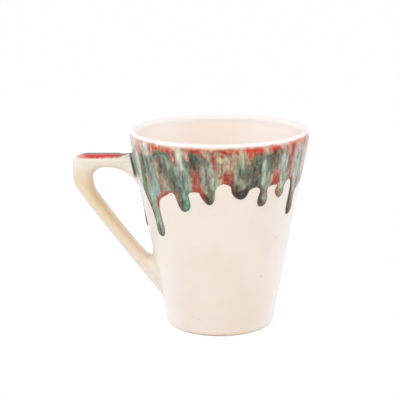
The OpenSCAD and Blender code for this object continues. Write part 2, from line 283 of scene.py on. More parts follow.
def strap_pairs():
    """Outer and inner outline points from the upper joint to the lower one: arm, corner, heel and leg."""
    arm_o, arm_i = np.array([-JOINT_X, ARM_TOP]), np.array([-JOINT_X, ARM_LOW - ARM_DIP])
    arm_mid = np.array([(GAP_C[0] - JOINT_X) / 2, ARM_LOW])
    corner = arc((CORNER_R - REACH, ARM_TOP - CORNER_R), CORNER_R, CORNER_R, 90, 180, 13)
    heel = arc(HEEL_C, HEEL_R, HEEL_R, 180, 180 + math.degrees(LEG_LEAN), 12)
    outer = np.concatenate([corner, np.linspace(corner[-1], heel[0], 5)[1:-1], heel])
    gap_top = arc(GAP_C, GAP_RUN, GAP_DROP, 90, 180, 15)
    turn = np.linspace(0, 1, len(outer) - len(gap_top) + 1)[1:, None]
    inner = np.concatenate([gap_top, bend(gap_top[-1], GAP_KNEE, GAP_LOW, turn)])
    t = np.linspace(0, 1, ARM_STEPS, endpoint=False)[:, None]
    pairs = list(zip(lerp(arm_o, outer[0], t), bend(arm_i, arm_mid, inner[0], t)))
    pairs += list(zip(outer, inner))
    for t in np.arange(1, LEG_STEPS + 1) / LEG_STEPS:
        bow = LEG_OUT * LEG_BOW * math.sin(math.pi * t)
        pairs.append((lerp(outer[-1], LEG_O, t) + bow, lerp(inner[-1], LEG_I, t) + bow))
    return pairs


def wall_hit(points, way):
    """Where lines from these points along way meet the straight wall."""
    x, y, z = points.T
    wx, wy, wz = way
    a = wx**2 + wy**2 - (SLOPE * wz) ** 2
    b = 2 * (x * wx + y * wy - SLOPE * wz * wall_r(z))
    c = x**2 + y**2 - wall_r(z) ** 2
    s = (-b - np.sqrt(b * b - 4 * a * c)) / (2 * a)
    return points + s[:, None] * np.asarray(way)


def on_wall(deg, z, stand=0.0):
    a = np.radians(deg)
    r = out_r(z) + stand
    return np.stack([r * np.cos(a), r * np.sin(a), np.broadcast_to(z, np.shape(a))], axis=-1)


# How far a joint's last ring goes into the wall, and the steps of its lines before and in the bend
SINK = 0.4
STRAIGHT_STEPS = 20
BEND_STEPS = 60


def joint_rings(first, way, runs, starts, backs, drops, steps=34):
    """Rings from the strap's last section on to the wall. Each line of the surface goes straight on, bends,
    and comes on to the wall. The rest are (outer, inner, side) in millimetres: how far out along the wall it
    ends, how far off the wall it starts to bend, and how far off and out the corner of the bend lies."""
    hit = wall_hit(first, way)
    deg, z = np.degrees(np.arctan2(hit[:, 1], hit[:, 0])) % 360, hit[:, 2]
    mid_z = (z.max() + z.min()) / 2
    away = np.stack([np.radians(deg - 180) * wall_r(z), z - mid_z], axis=1)
    away /= np.linalg.norm(away, axis=1)[:, None]
    flank = np.sin(ANGLES) ** 4
    outer_side = np.cos(ANGLES) > 0
    shape = (runs, starts, backs, drops)
    run, start, back, drop = (lerp(np.where(outer_side, v[0], v[1]), v[2], flank) for v in shape)

    def shifted(far):
        return on_wall(deg + np.degrees(away[:, 0] * far / wall_r(z)), z + away[:, 1] * far)

    end = shifted(run)
    turn = shifted(drop) - np.asarray(way) * back[:, None]
    length = np.linalg.norm(hit - first, axis=1)
    begin = hit - np.asarray(way) * np.minimum(start, length)[:, None]
    straight = np.linspace(0, 1, STRAIGHT_STEPS, endpoint=False)[:, None, None]
    curve = np.linspace(0, 1, BEND_STEPS)[:, None, None]
    lines = np.concatenate([lerp(first, begin, straight), bend(begin, turn, end, curve)])
    # The points of each line are spread evenly along it, closer together near the wall
    spans = np.linalg.norm(np.diff(lines, axis=0), axis=2)
    reach = np.concatenate([np.zeros((1, len(first))), np.cumsum(spans, axis=0)])
    share = np.linspace(0, 1, steps)
    share = share * (1.6 - 0.6 * share)
    rings = np.empty((steps,) + first.shape)
    for k in range(len(first)):
        for axis in range(3):
            rings[:, k, axis] = np.interp(share * reach[-1, k], reach[:, k], lines[:, k, axis])
    # A last ring just inside the wall closes the edge
    inside = np.stack([np.cos(np.radians(deg)), np.sin(np.radians(deg)), 0 * z], axis=1) * SINK
    return np.concatenate([rings, (end - inside)[None]])


# Outline of the run glaze


def through(points, steps=14):
    """A smooth open line through the points (Catmull-Rom)."""
    p = np.asarray(points, float)
    p = np.concatenate([p[:1], p, p[-1:]])
    t = np.linspace(0, 1, steps, endpoint=False)[:, None]
    parts = []
    for a, b, c, d in zip(p, p[1:], p[2:], p[3:]):
        square, cube = 2 * a - 5 * b + 4 * c - d, 3 * b - a - 3 * c + d
        parts.append(0.5 * (2 * b + (c - a) * t + square * t**2 + cube * t**3))
    return np.concatenate(parts)


# The lower edge where it shows from the front, as (degrees, height), from the handle round to the right
FRONT_EDGE = [
    (180, 89.8), (186.5, 89.6), (191, 88), (193, 83.6), (195.2, 79.6), (198.5, 77.2), (202.4, 75),
    (205, 72.4), (207.2, 70.2), (209.5, 67.9), (211.4, 65.3), (213.1, 62.2), (214.4, 58.4), (214.8, 55.2),
    (216, 53), (218.6, 52), (221.4, 52.6), (223, 54.6), (223, 57.6), (222.1, 61), (221.4, 65),
    (221.4, 68.2), (222.6, 70.9), (225.8, 73), (230, 74.5), (233.4, 76.1), (236, 76.5), (238, 75.6),
    (239.3, 73.4), (240.4, 70.8), (241.7, 68.7), (243.6, 67.4), (246, 67.6), (248.2, 68.9), (249, 71),
    (248.4, 73.8), (248, 76), (249.2, 77.3), (251.6, 77.8), (255, 77.9), (257, 77.3), (257.4, 76.2),
    (258.6, 74.8), (260.2, 73.1), (262.2, 71.8), (264.4, 72), (265.9, 73.6), (266.4, 76), (266.8, 78.4),
    (268, 80.4), (270, 81.7), (272.4, 82.4), (274.6, 82.1), (276.8, 81.4), (278.2, 80.1), (278.5, 78.3),
    (279.4, 76.7), (281, 75.3), (283.6, 74.3), (286.2, 74.4), (288.2, 75.8), (289.4, 77.8), (291, 79),
    (293.2, 79.6), (295.4, 79.8), (297.8, 79), (298.9, 77.4), (298.4, 75.6), (297.7, 73.8), (297.5, 71.8),
    (298.1, 70.2), (300.2, 69.6), (302.9, 70.4), (304.1, 73), (303.6, 75.8), (303.7, 78), (305.6, 79.4),
    (308.4, 79.8), (311.2, 79.8), (312.8, 79), (312, 77.6), (311.2, 76.4), (312, 75), (313.4, 73.6),
    (315.2, 72.8), (317.4, 73.6), (318.8, 75.4), (318.8, 77.6), (319.6, 79.3), (321.4, 80.5), (323.8, 81.2),
    (326.4, 80), (327.6, 76.6), (327.6, 72), (327.2, 68), (327.3, 64.8), (328.2, 62.7), (330, 62),
    (332.2, 63), (334.3, 65.8), (334.9, 69.4), (335.2, 72.4), (337.2, 74.2), (340.8, 75.4), (345, 76),
]
# Tips on the front: degrees, height
FRONT_TIPS = [
    (218.8, 53.2), (244.6, 68.6), (262.6, 73), (284.6, 75.4), (299.6, 71), (315, 74), (330.2, 63.2),
]
# Round the back each run is (degrees, height of its tip, half width), each arch before it (degrees, height)
BACK_RUNS = [
    (379, 66.5, 4.4), (395, 59.9, 4.0), (411, 71.1, 4.2), (426, 65.0, 4.2), (442, 54.9, 4.0),
    (458, 69.1, 4.6), (474, 73.2, 3.8), (489, 61.0, 4.2), (505, 70.1, 4.0),
]
BACK_ARCHES = [
    (369.6, 77.6), (387, 78.2), (403, 77.2), (418.6, 80.3), (434.2, 77.2), (450, 79.2), (466.4, 78.2),
    (481.6, 80.3), (497, 77.7),
]
# The small lobe between the front and the first of them, and the way back up to the handle after the last
SIDE_LOBE = [
    (350, 76.8), (354.4, 77.6), (357, 76.2), (358.2, 74.2), (360.4, 73.2), (362.8, 74), (364.2, 76),
    (366.8, 77.4),
]
BACK_END = [(519, 77.6), (524.6, 79.6), (526.6, 84.5), (529, 88), (533.5, 89.6)]
# Tip of the single run under the handle, and its half width in degrees at heights down to the tip
LONE_TIP = (185.0, 52.0)
LONE_FLANK = [(1.7, 72.0), (1.7, 64.0), (2.1, 57.6), (2.1, 54.0), (1.2, 52.4)]
# Where it ends under the joint, and how thick it is as a share of the band
LONE_TOP = 71.2
LONE_SHARE = 0.6


def band_edge():
    """The band's whole lower edge as degrees and heights. Each run at the back has an arch before it, comes
    down past a shoulder and a neck to its tip, and goes up the same way."""
    points = FRONT_EDGE + SIDE_LOBE
    for (deg, tip, half), (arch_deg, arch) in zip(BACK_RUNS, BACK_ARCHES):
        shoulder = lerp(tip, arch, 0.62)
        neck = min(tip + 3.4, lerp(tip, arch, 0.45))
        flank = [(1.05, shoulder), (1.0, neck), (0.62, tip + 0.9)]
        points = points + [(arch_deg, arch), (arch_deg + 0.55 * (deg - half - arch_deg), arch - 0.8)]
        points += [(deg - share * half, height) for share, height in flank]
        points += [(deg, tip)]
        points += [(deg + share * half, height) for share, height in reversed(flank)]
        points += [(deg + 1.45 * half, arch - 0.9)]
    return through(points + BACK_END)


class Edge:
    """Distances from an outline on the unrolled wall. What lies to the left of its direction is inside."""

    def __init__(self, line, turns=(-1, 0, 1)):
        flat = self.flat(line)
        tangent = np.gradient(flat, axis=0)
        tangent /= np.maximum(np.linalg.norm(tangent, axis=1), 1e-9)[:, None]
        self.points, self.left = [], []
        for k in turns:
            self.points.append(flat + [k * TURN, 0])
            self.left.append(np.stack([-tangent[:, 1], tangent[:, 0]], axis=1))
        self.points, self.left = np.concatenate(self.points), np.concatenate(self.left)
        self.tree = kdtree.KDTree(len(self.points))
        for i, (x, y) in enumerate(self.points):
            self.tree.insert((x, y, 0), i)
        self.tree.balance()

    @staticmethod
    def flat(line):
        line = np.asarray(line, float)
        return np.stack([np.radians(line[..., 0]) * FLAT_R, line[..., 1]], axis=-1)

    def depth(self, deg, z):
        """Distance to the outline, above 0 inside."""
        spots = self.flat(np.stack([deg, z], axis=-1))
        index = np.fromiter((self.tree.find((x, y, 0))[1] for x, y in spots.reshape(-1, 2)), int)
        way = spots.reshape(-1, 2) - self.points[index]
        side = np.sign(np.sum(way * self.left[index], axis=1))
        return (np.linalg.norm(way, axis=1) * side).reshape(np.shape(deg))


def near_tips(deg, z, tips):
    """1 at the tips, falling away over the length of the bead."""
    best = np.zeros(np.shape(deg))
    for tip_deg, tip_z in tips:
        side = np.radians((deg - tip_deg + 180) % 360 - 180) * FLAT_R
        up = z - tip_z
        best = np.maximum(best, np.exp(-((side / TIP_HALF) ** 4) - (up / BEAD_L) ** 2))
    return best


def rounded(depth, edge, full):
    """Height of a glaze that rises from its edge in a rounded bead and dips into the clay just outside it."""
    bead = np.sqrt(1 - (1 - np.clip(depth / BEAD_W, 0.0, 1.0)) ** 2)
    return np.where(depth > 0, edge + (full - edge) * bead, edge + 0.9 * np.maximum(depth, -0.5))


def glaze_height(deg, z, depth, pool):
    """How far the run glaze stands off the wall."""
    ripple = 0.05 * streaks(deg, z, 2.2, 16.0, SEED + 900)
    return rounded(depth, EDGE_T, lerp(GLAZE_T, TIP_T, pool) + ripple)


# Share of white light that the gloss sends back. A colour read in daylight holds it, its pigment does not
SHEEN = 0.05

# Colours of the run glaze, as they look in daylight (sRGB, 0 to 255)
GLAZE_COLOURS = {
    "pale": (170, 176, 156), "mist": (200, 204, 194), "cream": (216, 212, 192), "straw": (198, 188, 154),
    "tan": (190, 168, 142), "teal": (140, 162, 154), "aqua": (148, 181, 178), "sea": (160, 178, 160),
    "jade": (96, 152, 122), "green": (110, 128, 110), "deep": (76, 92, 80), "moss": (120, 122, 102),
    "slate": (108, 112, 106), "ink": (66, 66, 58), "plum": (134, 106, 96), "mauve": (172, 152, 146),
    "blush": (178, 152, 136), "rose": (224, 162, 146), "rust": (166, 98, 80), "red": (176, 74, 58),
    "scarlet": (222, 74, 50), "crimson": (230, 48, 36), "salmon": (218, 124, 98), "umber": (102, 88, 76),
    "brown": (136, 104, 88), "wine": (92, 46, 42), "black": (54, 46, 40), "bare": (240, 230, 218),
    "pink": (244, 188, 174),
}


def linear(rgb):
    """sRGB from 0 to 255 as scene-linear values."""
    v = np.asarray(rgb, float) / 255.0
    return np.where(v <= 0.04045, v / 12.92, ((v + 0.055) / 1.055) ** 2.4)


# Brush and run marks seen from the front: colour, degrees and height of the start and of the end, half width
# in degrees. They are laid one over another in this order
FRONT_MARKS = [
    # Ground
    ("teal", 190, 92, 192, 84, 3), ("mist", 203, 98, 203, 78, 3.4), ("green", 210, 93, 208, 76, 3.2),
    ("teal", 218, 93, 219, 76, 4.2), ("teal", 221, 88, 221, 70, 3.2), ("blush", 225, 93, 226, 78, 2.8),
    ("moss", 231, 96, 231, 82, 4), ("green", 236, 94, 237, 80, 3.4), ("pale", 244, 99, 244, 86, 2.6),
    ("green", 241, 86, 244, 72, 3), ("teal", 248, 90, 248, 79, 2), ("pale", 263, 95, 264, 78, 4.5),
    ("tan", 272, 97, 272, 84, 5), ("tan", 280, 97, 279, 90, 4), ("moss", 286, 93, 286, 80, 4.2),
    ("slate", 294, 97, 294, 80, 4.4), ("sea", 301, 95, 301, 72, 3), ("green", 304, 93, 304, 82, 2),
    ("umber", 307, 97, 308, 87, 3.4), ("pale", 313, 98, 313, 86, 3), ("tan", 306.4, 88, 306.4, 83, 1.8),
    ("sea", 316, 95, 316, 76, 2.6), ("blush", 320, 97, 321, 84, 2), ("mist", 328, 97, 331, 78, 5),
    ("mauve", 337, 96, 338, 76, 4), ("rose", 343.6, 101, 346, 84, 2.4),
    # The flank beside the handle
    ("bare", 170, 101, 191, 99, 4), ("bare", 198, 101, 199, 98.4, 3), ("mist", 198, 98, 199, 94.6, 2.6),
    ("green", 190, 95, 194, 90, 1.6), ("ink", 182, 92.6, 186, 90, 2.4), ("aqua", 190, 89, 191, 84, 2.4),
    ("aqua", 195.6, 92, 195, 85, 1.8), ("moss", 190, 84, 192, 79.6, 2.2), ("bare", 194, 77, 200, 74, 3),
    ("teal", 198, 93, 198, 90, 1), ("mist", 203.6, 94, 203, 80, 1.6), ("bare", 203.6, 97, 204.4, 93, 1.2),
    ("moss", 210, 91, 210.6, 79, 1.8),
    # First green bow and what it spans
    ("moss", 210, 91, 209, 81, 2.4), ("deep", 212.4, 93, 213, 85, 1), ("green", 209, 82, 207, 76, 2),
    ("jade", 208, 79, 209, 75, 1.3), ("slate", 217, 92, 217, 82, 1.6), ("sea", 222.6, 89, 222.6, 84, 1),
    ("teal", 214, 95, 215, 86, 1.2), ("blush", 215, 82, 214.6, 77, 1.6),
    ("brown", 216.6, 80.4, 217, 78.4, 0.5), ("aqua", 221.6, 80, 221, 75, 2.2),
    ("sea", 216, 78, 216.4, 74, 1.6), ("aqua", 213.4, 74.4, 213.6, 71.6, 1.6),
    ("aqua", 216.6, 71, 217.4, 66, 1.7), ("sea", 218.6, 72, 219, 60, 1.4),
    ("pale", 220.6, 66, 220.4, 58, 1.2), ("sea", 216.6, 67, 217.4, 57, 1),
    ("green", 212.4, 71, 213.4, 67, 0.9), ("jade", 218, 58, 217.6, 55, 1.5),
    ("deep", 219, 56.4, 219.4, 54, 1.8),
    # Second bow, with plum under it
    ("green", 221, 91, 226, 95.4, 1.7), ("green", 226, 95.6, 233, 96, 1.9),
    ("green", 233, 96, 238, 90.6, 1.7), ("deep", 225, 94.4, 227, 95, 0.9), ("tan", 225, 91, 225.4, 84, 1.3),
    ("umber", 229.6, 92, 229.6, 84.4, 1.7), ("slate", 226, 92.6, 230, 93.4, 0.8),
    ("plum", 229.4, 87, 229.4, 83.6, 1.3), ("moss", 228, 85, 228.2, 82.6, 0.9),
    ("blush", 231, 83, 231, 77.6, 2.6), ("moss", 232.4, 91, 232, 84, 0.9),
    ("pale", 236, 92, 236, 88.6, 1.1), ("sea", 234, 94.6, 236.4, 92.6, 0.7),
    ("green", 233.6, 90, 234.4, 84, 1.1), ("moss", 237, 87, 237, 81, 2.3),
    ("umber", 238, 83, 240, 77.6, 1.7), ("brown", 228, 78, 228, 75.4, 1.3),
    ("slate", 242, 86, 242, 78, 1.4), ("teal", 243.4, 83.4, 243.4, 80, 0.9),
    ("ink", 242.6, 79, 243.4, 76, 0.8),
    # Pale gap and the second run
    ("cream", 244.4, 99.6, 244.2, 94, 1.8), ("mist", 246, 93.6, 246, 88.4, 1.2),
    ("sea", 242, 90, 242, 86.4, 1.4), ("mist", 243, 91, 243, 88.6, 0.6),
    ("umber", 244.4, 88, 244.2, 85.6, 0.4), ("plum", 246, 88, 246.2, 86, 0.5),
    ("deep", 246.6, 84, 246, 78.6, 1.2), ("teal", 247.4, 87, 247.6, 80, 0.9),
    ("pale", 250, 87, 249.6, 81, 1.1), ("sea", 246.6, 80, 246.6, 75, 1.5),
    ("jade", 247, 71.6, 247, 69, 1.9), ("sea", 248.4, 75, 248.4, 72, 1), ("green", 244, 78, 244.6, 72, 1.2),
    ("deep", 244.6, 72.6, 244.4, 68.6, 1.1), ("brown", 241.4, 74, 242, 70, 1),
    # Dark green bow over rust, and the fang
    ("deep", 253.6, 96, 253.6, 91.6, 3), ("green", 248.6, 94.4, 248.8, 91.8, 1.5),
    ("green", 257, 96, 260.6, 92, 1.9), ("umber", 258, 96.6, 263, 93.6, 0.6),
    ("ink", 252, 94, 252, 91, 0.7), ("deep", 256, 95, 257, 91, 1), ("umber", 251.6, 91, 252.4, 86.6, 1.9),
    ("wine", 254.4, 90.4, 254.2, 87.4, 0.6), ("brown", 256.6, 92, 256.4, 86, 1.2),
    ("rust", 254.6, 86, 255, 79, 2.9), ("red", 254, 84.6, 254.2, 82, 0.8), ("red", 253, 79.6, 257.4, 79, 1),
    ("rust", 257.6, 85, 257.4, 80, 0.8), ("brown", 258.6, 91, 258.8, 82, 0.6),
    ("sea", 259.6, 90, 260, 83, 0.7), ("umber", 261.6, 89, 261.8, 82, 0.8),
    ("pale", 264.8, 91, 265, 80, 1.9), ("brown", 263.2, 86, 263, 77, 0.8),
    ("moss", 263.4, 97, 263, 91, 0.6), ("sea", 267, 85, 266.4, 80, 1.2), ("blush", 259, 82, 260, 79, 1),
    ("red", 259.4, 77, 262, 74.4, 1.5), ("wine", 260.6, 76, 262.2, 73, 1.4),
    ("black", 263, 75, 263, 72.6, 0.9), ("moss", 265, 78, 265, 74, 1), ("moss", 262.6, 79, 263.4, 76, 0.8),
    # Rust mottled with straw, then the red patch
    ("rust", 267, 96, 267.4, 89, 1.1), ("straw", 269.6, 94.6, 269.6, 92, 1.4),
    ("blush", 268.6, 91, 268.8, 86, 1.2), ("brown", 271.4, 92, 271.4, 86, 0.6),
    ("straw", 272.6, 97, 274, 94, 1.6), ("brown", 277, 96, 277, 91, 0.6), ("tan", 275, 92, 275, 89, 1.6),
    ("rust", 276, 86.6, 276, 84, 2.6), ("red", 273.4, 86.6, 273.4, 84.4, 1.2),
    ("red", 277.8, 86.4, 278.4, 83, 1.2), ("rust", 279.6, 83, 279.8, 81, 0.7),
    ("rust", 269.8, 89, 270.4, 85, 0.7), ("straw", 268, 100.4, 271, 99.6, 1.4),
    ("rust", 276.4, 85.6, 276.4, 83, 1.6), ("red", 275, 84.8, 277, 83.4, 1.2), ("tan", 276, 90, 276, 88, 1),
    # Straw and grey-green streaks of the fourth run
    ("straw", 283.4, 98.6, 283.4, 92.6, 2.3), ("brown", 281, 95, 281, 91, 0.5),
    ("sea", 285, 92, 285, 89.6, 1.6), ("green", 282, 92.4, 282.4, 86, 1.2),
    ("deep", 283.2, 89, 283.4, 84, 0.6), ("umber", 286.4, 89, 286.2, 84, 0.5),
    ("pale", 280.8, 90, 281.2, 82, 1), ("moss", 287.4, 94, 287.4, 84, 1.5),
    ("deep", 288.8, 89, 288.6, 83, 0.6), ("green", 285, 88.6, 285, 84, 0.8),
    ("pale", 284.6, 83, 285.6, 80.2, 1.5), ("black", 280.6, 76.8, 289, 76.8, 2.4),
    ("brown", 288, 85.6, 287.6, 83, 0.4), ("straw", 285, 95, 285, 93, 0.9),
    ("umber", 288.4, 93, 288.2, 91, 0.8), ("ink", 293.6, 89.4, 294, 85, 0.9),
    ("plum", 281.6, 80.6, 282, 79.4, 0.8), ("moss", 282.4, 85.6, 282.4, 84, 0.7),
    ("pale", 282, 83, 282.2, 81.6, 0.7),
    # Dark slate column and the sea green fifth run
    ("brown", 289.8, 94, 290.4, 89, 1.2), ("green", 293.4, 97, 294, 91, 2),
    ("slate", 296.4, 96, 296.6, 88, 1.4), ("umber", 291, 91, 291, 89.6, 1.1),
    ("moss", 291, 89.4, 291, 86.8, 1.1), ("deep", 291, 87, 291.4, 81, 1.6),
    ("ink", 292.4, 89, 293, 84, 1.4), ("deep", 293.2, 86, 294, 81, 1.7), ("ink", 294.8, 83, 295, 80.6, 0.8),
    ("plum", 296.2, 90, 296, 85.6, 0.8), ("ink", 297.4, 89, 297.6, 84, 0.6),
    ("moss", 297, 85, 297.2, 82, 0.8), ("green", 298.6, 97, 298.4, 92.6, 1),
    ("green", 300.8, 96, 300.8, 93.4, 1.1), ("deep", 296, 94, 296.2, 91, 0.6),
    ("cream", 299.6, 92.4, 299.4, 90, 0.8), ("sea", 299.4, 88, 299.6, 80, 1.1),
    ("mist", 300.6, 86, 300.4, 79, 0.7), ("green", 302.4, 92, 302.4, 86, 1),
    ("sea", 300.2, 80, 300.4, 74, 1.3), ("moss", 304, 92, 304.4, 85, 0.9),
    ("slate", 302.6, 97, 302.4, 93, 1), ("pale", 303.4, 86, 303, 81, 1),
    ("blush", 304.8, 83, 305, 80.6, 0.8), ("umber", 297.2, 72.4, 300.6, 71.4, 1.7),
    # Umber blob, red patch and the sea green sixth run
    ("ink", 305.6, 97, 306.6, 94, 1.8), ("umber", 304.8, 96, 306.4, 91, 1.6),
    ("wine", 309.4, 95, 309.2, 93, 0.9), ("moss", 308, 92.6, 308, 90, 1.4),
    ("plum", 308.6, 90, 308.8, 87, 1.2), ("green", 306, 89, 306.2, 86, 1),
    ("rust", 309.4, 85, 310, 80.6, 3), ("red", 309.4, 83.4, 309.8, 82, 1.6),
    ("red", 307.4, 80.8, 309, 80.2, 1), ("salmon", 310.6, 86.4, 312, 83, 1),
    ("red", 312, 83, 312.8, 80.4, 0.8), ("deep", 311.2, 94, 311.4, 90.6, 0.6),
    ("pale", 312.6, 95, 312.6, 88, 0.9), ("mist", 315, 94, 315.4, 88, 1.2),
    ("teal", 316.8, 91, 316.6, 87.6, 0.9), ("jade", 316.2, 86, 316.4, 81, 0.8),
    ("sea", 317.2, 86, 317.6, 78, 0.9), ("straw", 315.2, 99, 315.4, 95.6, 0.9),
    ("cream", 314.2, 83, 314.6, 78, 0.9), ("green", 313.4, 80, 313.8, 76.6, 0.5),
    ("moss", 315.6, 76.4, 315.6, 74, 0.9), ("rust", 312.8, 76, 313.8, 74.6, 1.2),
    ("straw", 312.6, 79.6, 312.4, 77.6, 0.8), ("mist", 318, 91, 318, 88.6, 0.9),
    ("blush", 309, 88, 309, 85.6, 0.9),
    # Rust streak between the sixth and the seventh run
    ("brown", 320, 92, 320, 86, 0.9), ("moss", 319.4, 90.4, 319.6, 87, 0.5),
    ("rust", 322.4, 97, 322.8, 84, 1.4), ("salmon", 324, 93, 324.2, 84, 1),
    ("rust", 320.6, 82, 321, 80.6, 1), ("red", 322.6, 83, 325, 80.6, 0.7),
    ("mauve", 326.4, 92, 326.8, 82, 1.1), ("teal", 329, 91, 329.4, 85, 1.2),
    ("moss", 330, 95, 330.6, 91, 1), ("mist", 332.4, 94, 332.4, 88, 1),
    ("mauve", 336.6, 94, 337.4, 84, 1.8), ("teal", 331, 83, 331.4, 79, 0.9),
    ("slate", 334.6, 79, 335, 75, 1.4), ("mauve", 331.6, 79, 332.4, 75, 1),
    ("sea", 333, 75, 333.4, 72.6, 0.9), ("red", 325.8, 79, 327, 74, 1), ("plum", 328.4, 74, 328.6, 68, 1.6),
    ("rust", 326.6, 69, 327.2, 66, 1), ("umber", 330, 69, 330, 65, 2), ("black", 328.6, 66, 329, 63.6, 1.6),
    ("mauve", 332.6, 71, 332.6, 67, 0.9),
    # Red along the top
    ("rose", 205, 100, 207, 97.6, 1.8), ("bare", 203, 99, 204, 97, 1),
    ("rose", 208.6, 97, 209.6, 95.4, 1.6), ("pink", 205.6, 99.4, 207.8, 95.4, 1.8),
    ("rose", 210, 101, 213, 96, 1.9), ("pink", 213.6, 100.4, 213.6, 97, 1.6),
    ("pink", 216.6, 100.4, 222, 100.4, 0.9), ("mauve", 214, 98, 213.4, 95.6, 0.9),
    ("blush", 216, 99, 216, 97, 1), ("pale", 216, 81, 216, 79.4, 0.8), ("bare", 217.4, 99, 218.6, 95, 1.9),
    ("mist", 212.4, 97.6, 215.6, 94.8, 1.4), ("blush", 218, 92.6, 219, 91.6, 0.8),
    ("salmon", 222, 98.8, 239.6, 98.4, 1.9), ("rose", 214, 100.4, 232, 99.8, 1.2),
    ("scarlet", 223.6, 98.2, 226, 97.8, 1), ("rose", 222.4, 97.4, 221.8, 95.4, 1.5),
    ("rust", 221.4, 97.4, 222, 96, 0.5), ("red", 228, 97.8, 233, 97.4, 0.9),
    ("scarlet", 235.4, 97.4, 237, 97.2, 0.8), ("red", 237.4, 96.6, 239.6, 93.6, 1),
    ("rust", 240.8, 97, 241.6, 91, 0.8), ("brown", 240, 96, 240.4, 92.6, 0.8),
    ("rust", 247.6, 98.8, 249, 98.4, 0.9), ("rose", 248.6, 97.6, 249.6, 94.6, 1.1),
    ("salmon", 250, 99, 266, 98.8, 1.1), ("red", 251.6, 98.2, 259.4, 98, 1.1),
    ("rust", 256.6, 97.4, 260.4, 95.6, 0.8), ("rose", 259.4, 98, 262, 97, 1.4),
    ("tan", 262.4, 97.4, 264, 94, 1.4), ("tan", 287.6, 95.4, 288, 92.4, 1.1),
    ("rust", 265.8, 97, 266.4, 91, 0.9), ("red", 266, 97, 266.4, 94, 0.5),
    ("salmon", 268, 98.8, 286.6, 98.4, 1.2), ("rust", 269, 97.6, 271.4, 96, 1),
    ("red", 271, 98.2, 275.6, 97.2, 1.2), ("rust", 274.6, 97, 275.4, 95.6, 0.8),
    ("rust", 280, 98, 281.4, 97.4, 0.8), ("cream", 283.2, 99.4, 283.2, 97.2, 0.6),
    ("rose", 285.6, 98, 286.6, 95, 0.8), ("scarlet", 288.4, 98.8, 290, 95.8, 1.5),
    ("scarlet", 290, 98.6, 297.4, 98, 1.2), ("red", 291, 97, 296.6, 96.2, 0.9),
    ("rust", 289, 95.6, 289.6, 94, 1), ("salmon", 298, 98.8, 299.4, 96.6, 0.9),
    ("cream", 300.6, 99.4, 301.4, 96.6, 0.8), ("tan", 300, 99, 300.2, 97, 1.1),
    ("scarlet", 303.6, 98.6, 309, 98.6, 1.3), ("salmon", 303, 98.6, 303.6, 96.6, 0.9),
    ("red", 306, 98, 309, 97.6, 0.7), ("rust", 310.8, 98, 311.8, 95.6, 0.9),
    ("rose", 312.6, 99, 315, 97.2, 1.3), ("rust", 317, 97.6, 317.4, 94, 0.5),
    ("rose", 318.6, 99, 319.6, 95.6, 1.2), ("scarlet", 321.8, 98.8, 324.4, 98.2, 1.5),
    ("red", 322.6, 97.6, 322.8, 93, 1), ("salmon", 326, 98.8, 327.8, 97.4, 1.5),
    ("rust", 323.8, 98, 324.2, 93, 1.4), ("red", 323.6, 98.6, 323.8, 96, 1.1),
    ("mist", 327.4, 93, 327.6, 90, 0.9), ("rose", 326.8, 97.6, 327, 95, 1.2),
    ("bare", 239.6, 101, 240.6, 100, 1.5), ("bare", 263, 101, 265, 100, 1.2),
    ("salmon", 329, 99.6, 333, 99, 1.4), ("rose", 334, 99.6, 336, 98.6, 1.6),
    ("salmon", 231, 98.6, 231.2, 97.6, 0.9), ("rust", 257.6, 98.4, 258.4, 97.6, 0.8),
    ("rust", 267, 98.6, 267, 97.2, 0.7), ("tan", 270, 88.8, 270, 87, 0.7),
    ("salmon", 291, 96.8, 291.2, 95.6, 0.7), ("moss", 290.8, 89.2, 290.8, 87.2, 0.8),
    ("ink", 294, 92.8, 294, 91.4, 0.7), ("cream", 300, 98.8, 300, 97.4, 0.8),
    ("pale", 300, 77, 300, 75.4, 0.7), ("straw", 312, 78.8, 312, 77.4, 0.9),
    ("bare", 216, 98.8, 216.4, 97.2, 0.8), ("teal", 222, 81, 222, 78.6, 0.9),
    ("rust", 225, 96.6, 225.6, 95.6, 0.6), ("sea", 224.6, 78.8, 224.8, 77.2, 0.7),
    ("pale", 231, 92.6, 231, 91.4, 0.4), ("rose", 240, 94.6, 240.2, 93.4, 0.5),
    ("rust", 240, 76.6, 240.2, 75.4, 0.7), ("brown", 243, 69, 243, 67.8, 0.6),
    ("wine", 273.4, 84.2, 276.6, 83.8, 0.35), ("wine", 279, 82.6, 279, 81.8, 0.35),
    ("salmon", 282, 98.4, 282.2, 97.8, 0.5), ("moss", 282, 84.6, 282.2, 83.6, 0.5),
    ("ink", 291, 80.6, 291, 79.6, 0.6), ("deep", 297, 91, 297, 87.6, 0.8),
    ("straw", 306, 84.6, 306, 81.6, 0.7), ("mauve", 327, 84.8, 327, 83.2, 0.7),
    ("aqua", 187, 89, 189, 87, 1.4), ("sea", 192, 91, 192, 89.2, 0.9), ("bare", 186, 96, 196, 94.6, 1.4),
    ("pale", 300, 76.6, 300, 75.6, 0.9), ("green", 210.4, 73.4, 213.6, 68.4, 0.9),
    ("green", 246, 81.4, 246, 79, 0.9), ("green", 216.4, 65.4, 216.8, 61.4, 0.8),
    ("straw", 285, 94.8, 285.2, 93.4, 0.7), ("rose", 337.4, 100.6, 337.6, 93, 1.4),
    ("red", 338, 99, 337.8, 95.6, 0.7), ("mauve", 342, 101, 343, 96, 2), ("mist", 340, 94, 340.4, 84, 1.6),
]
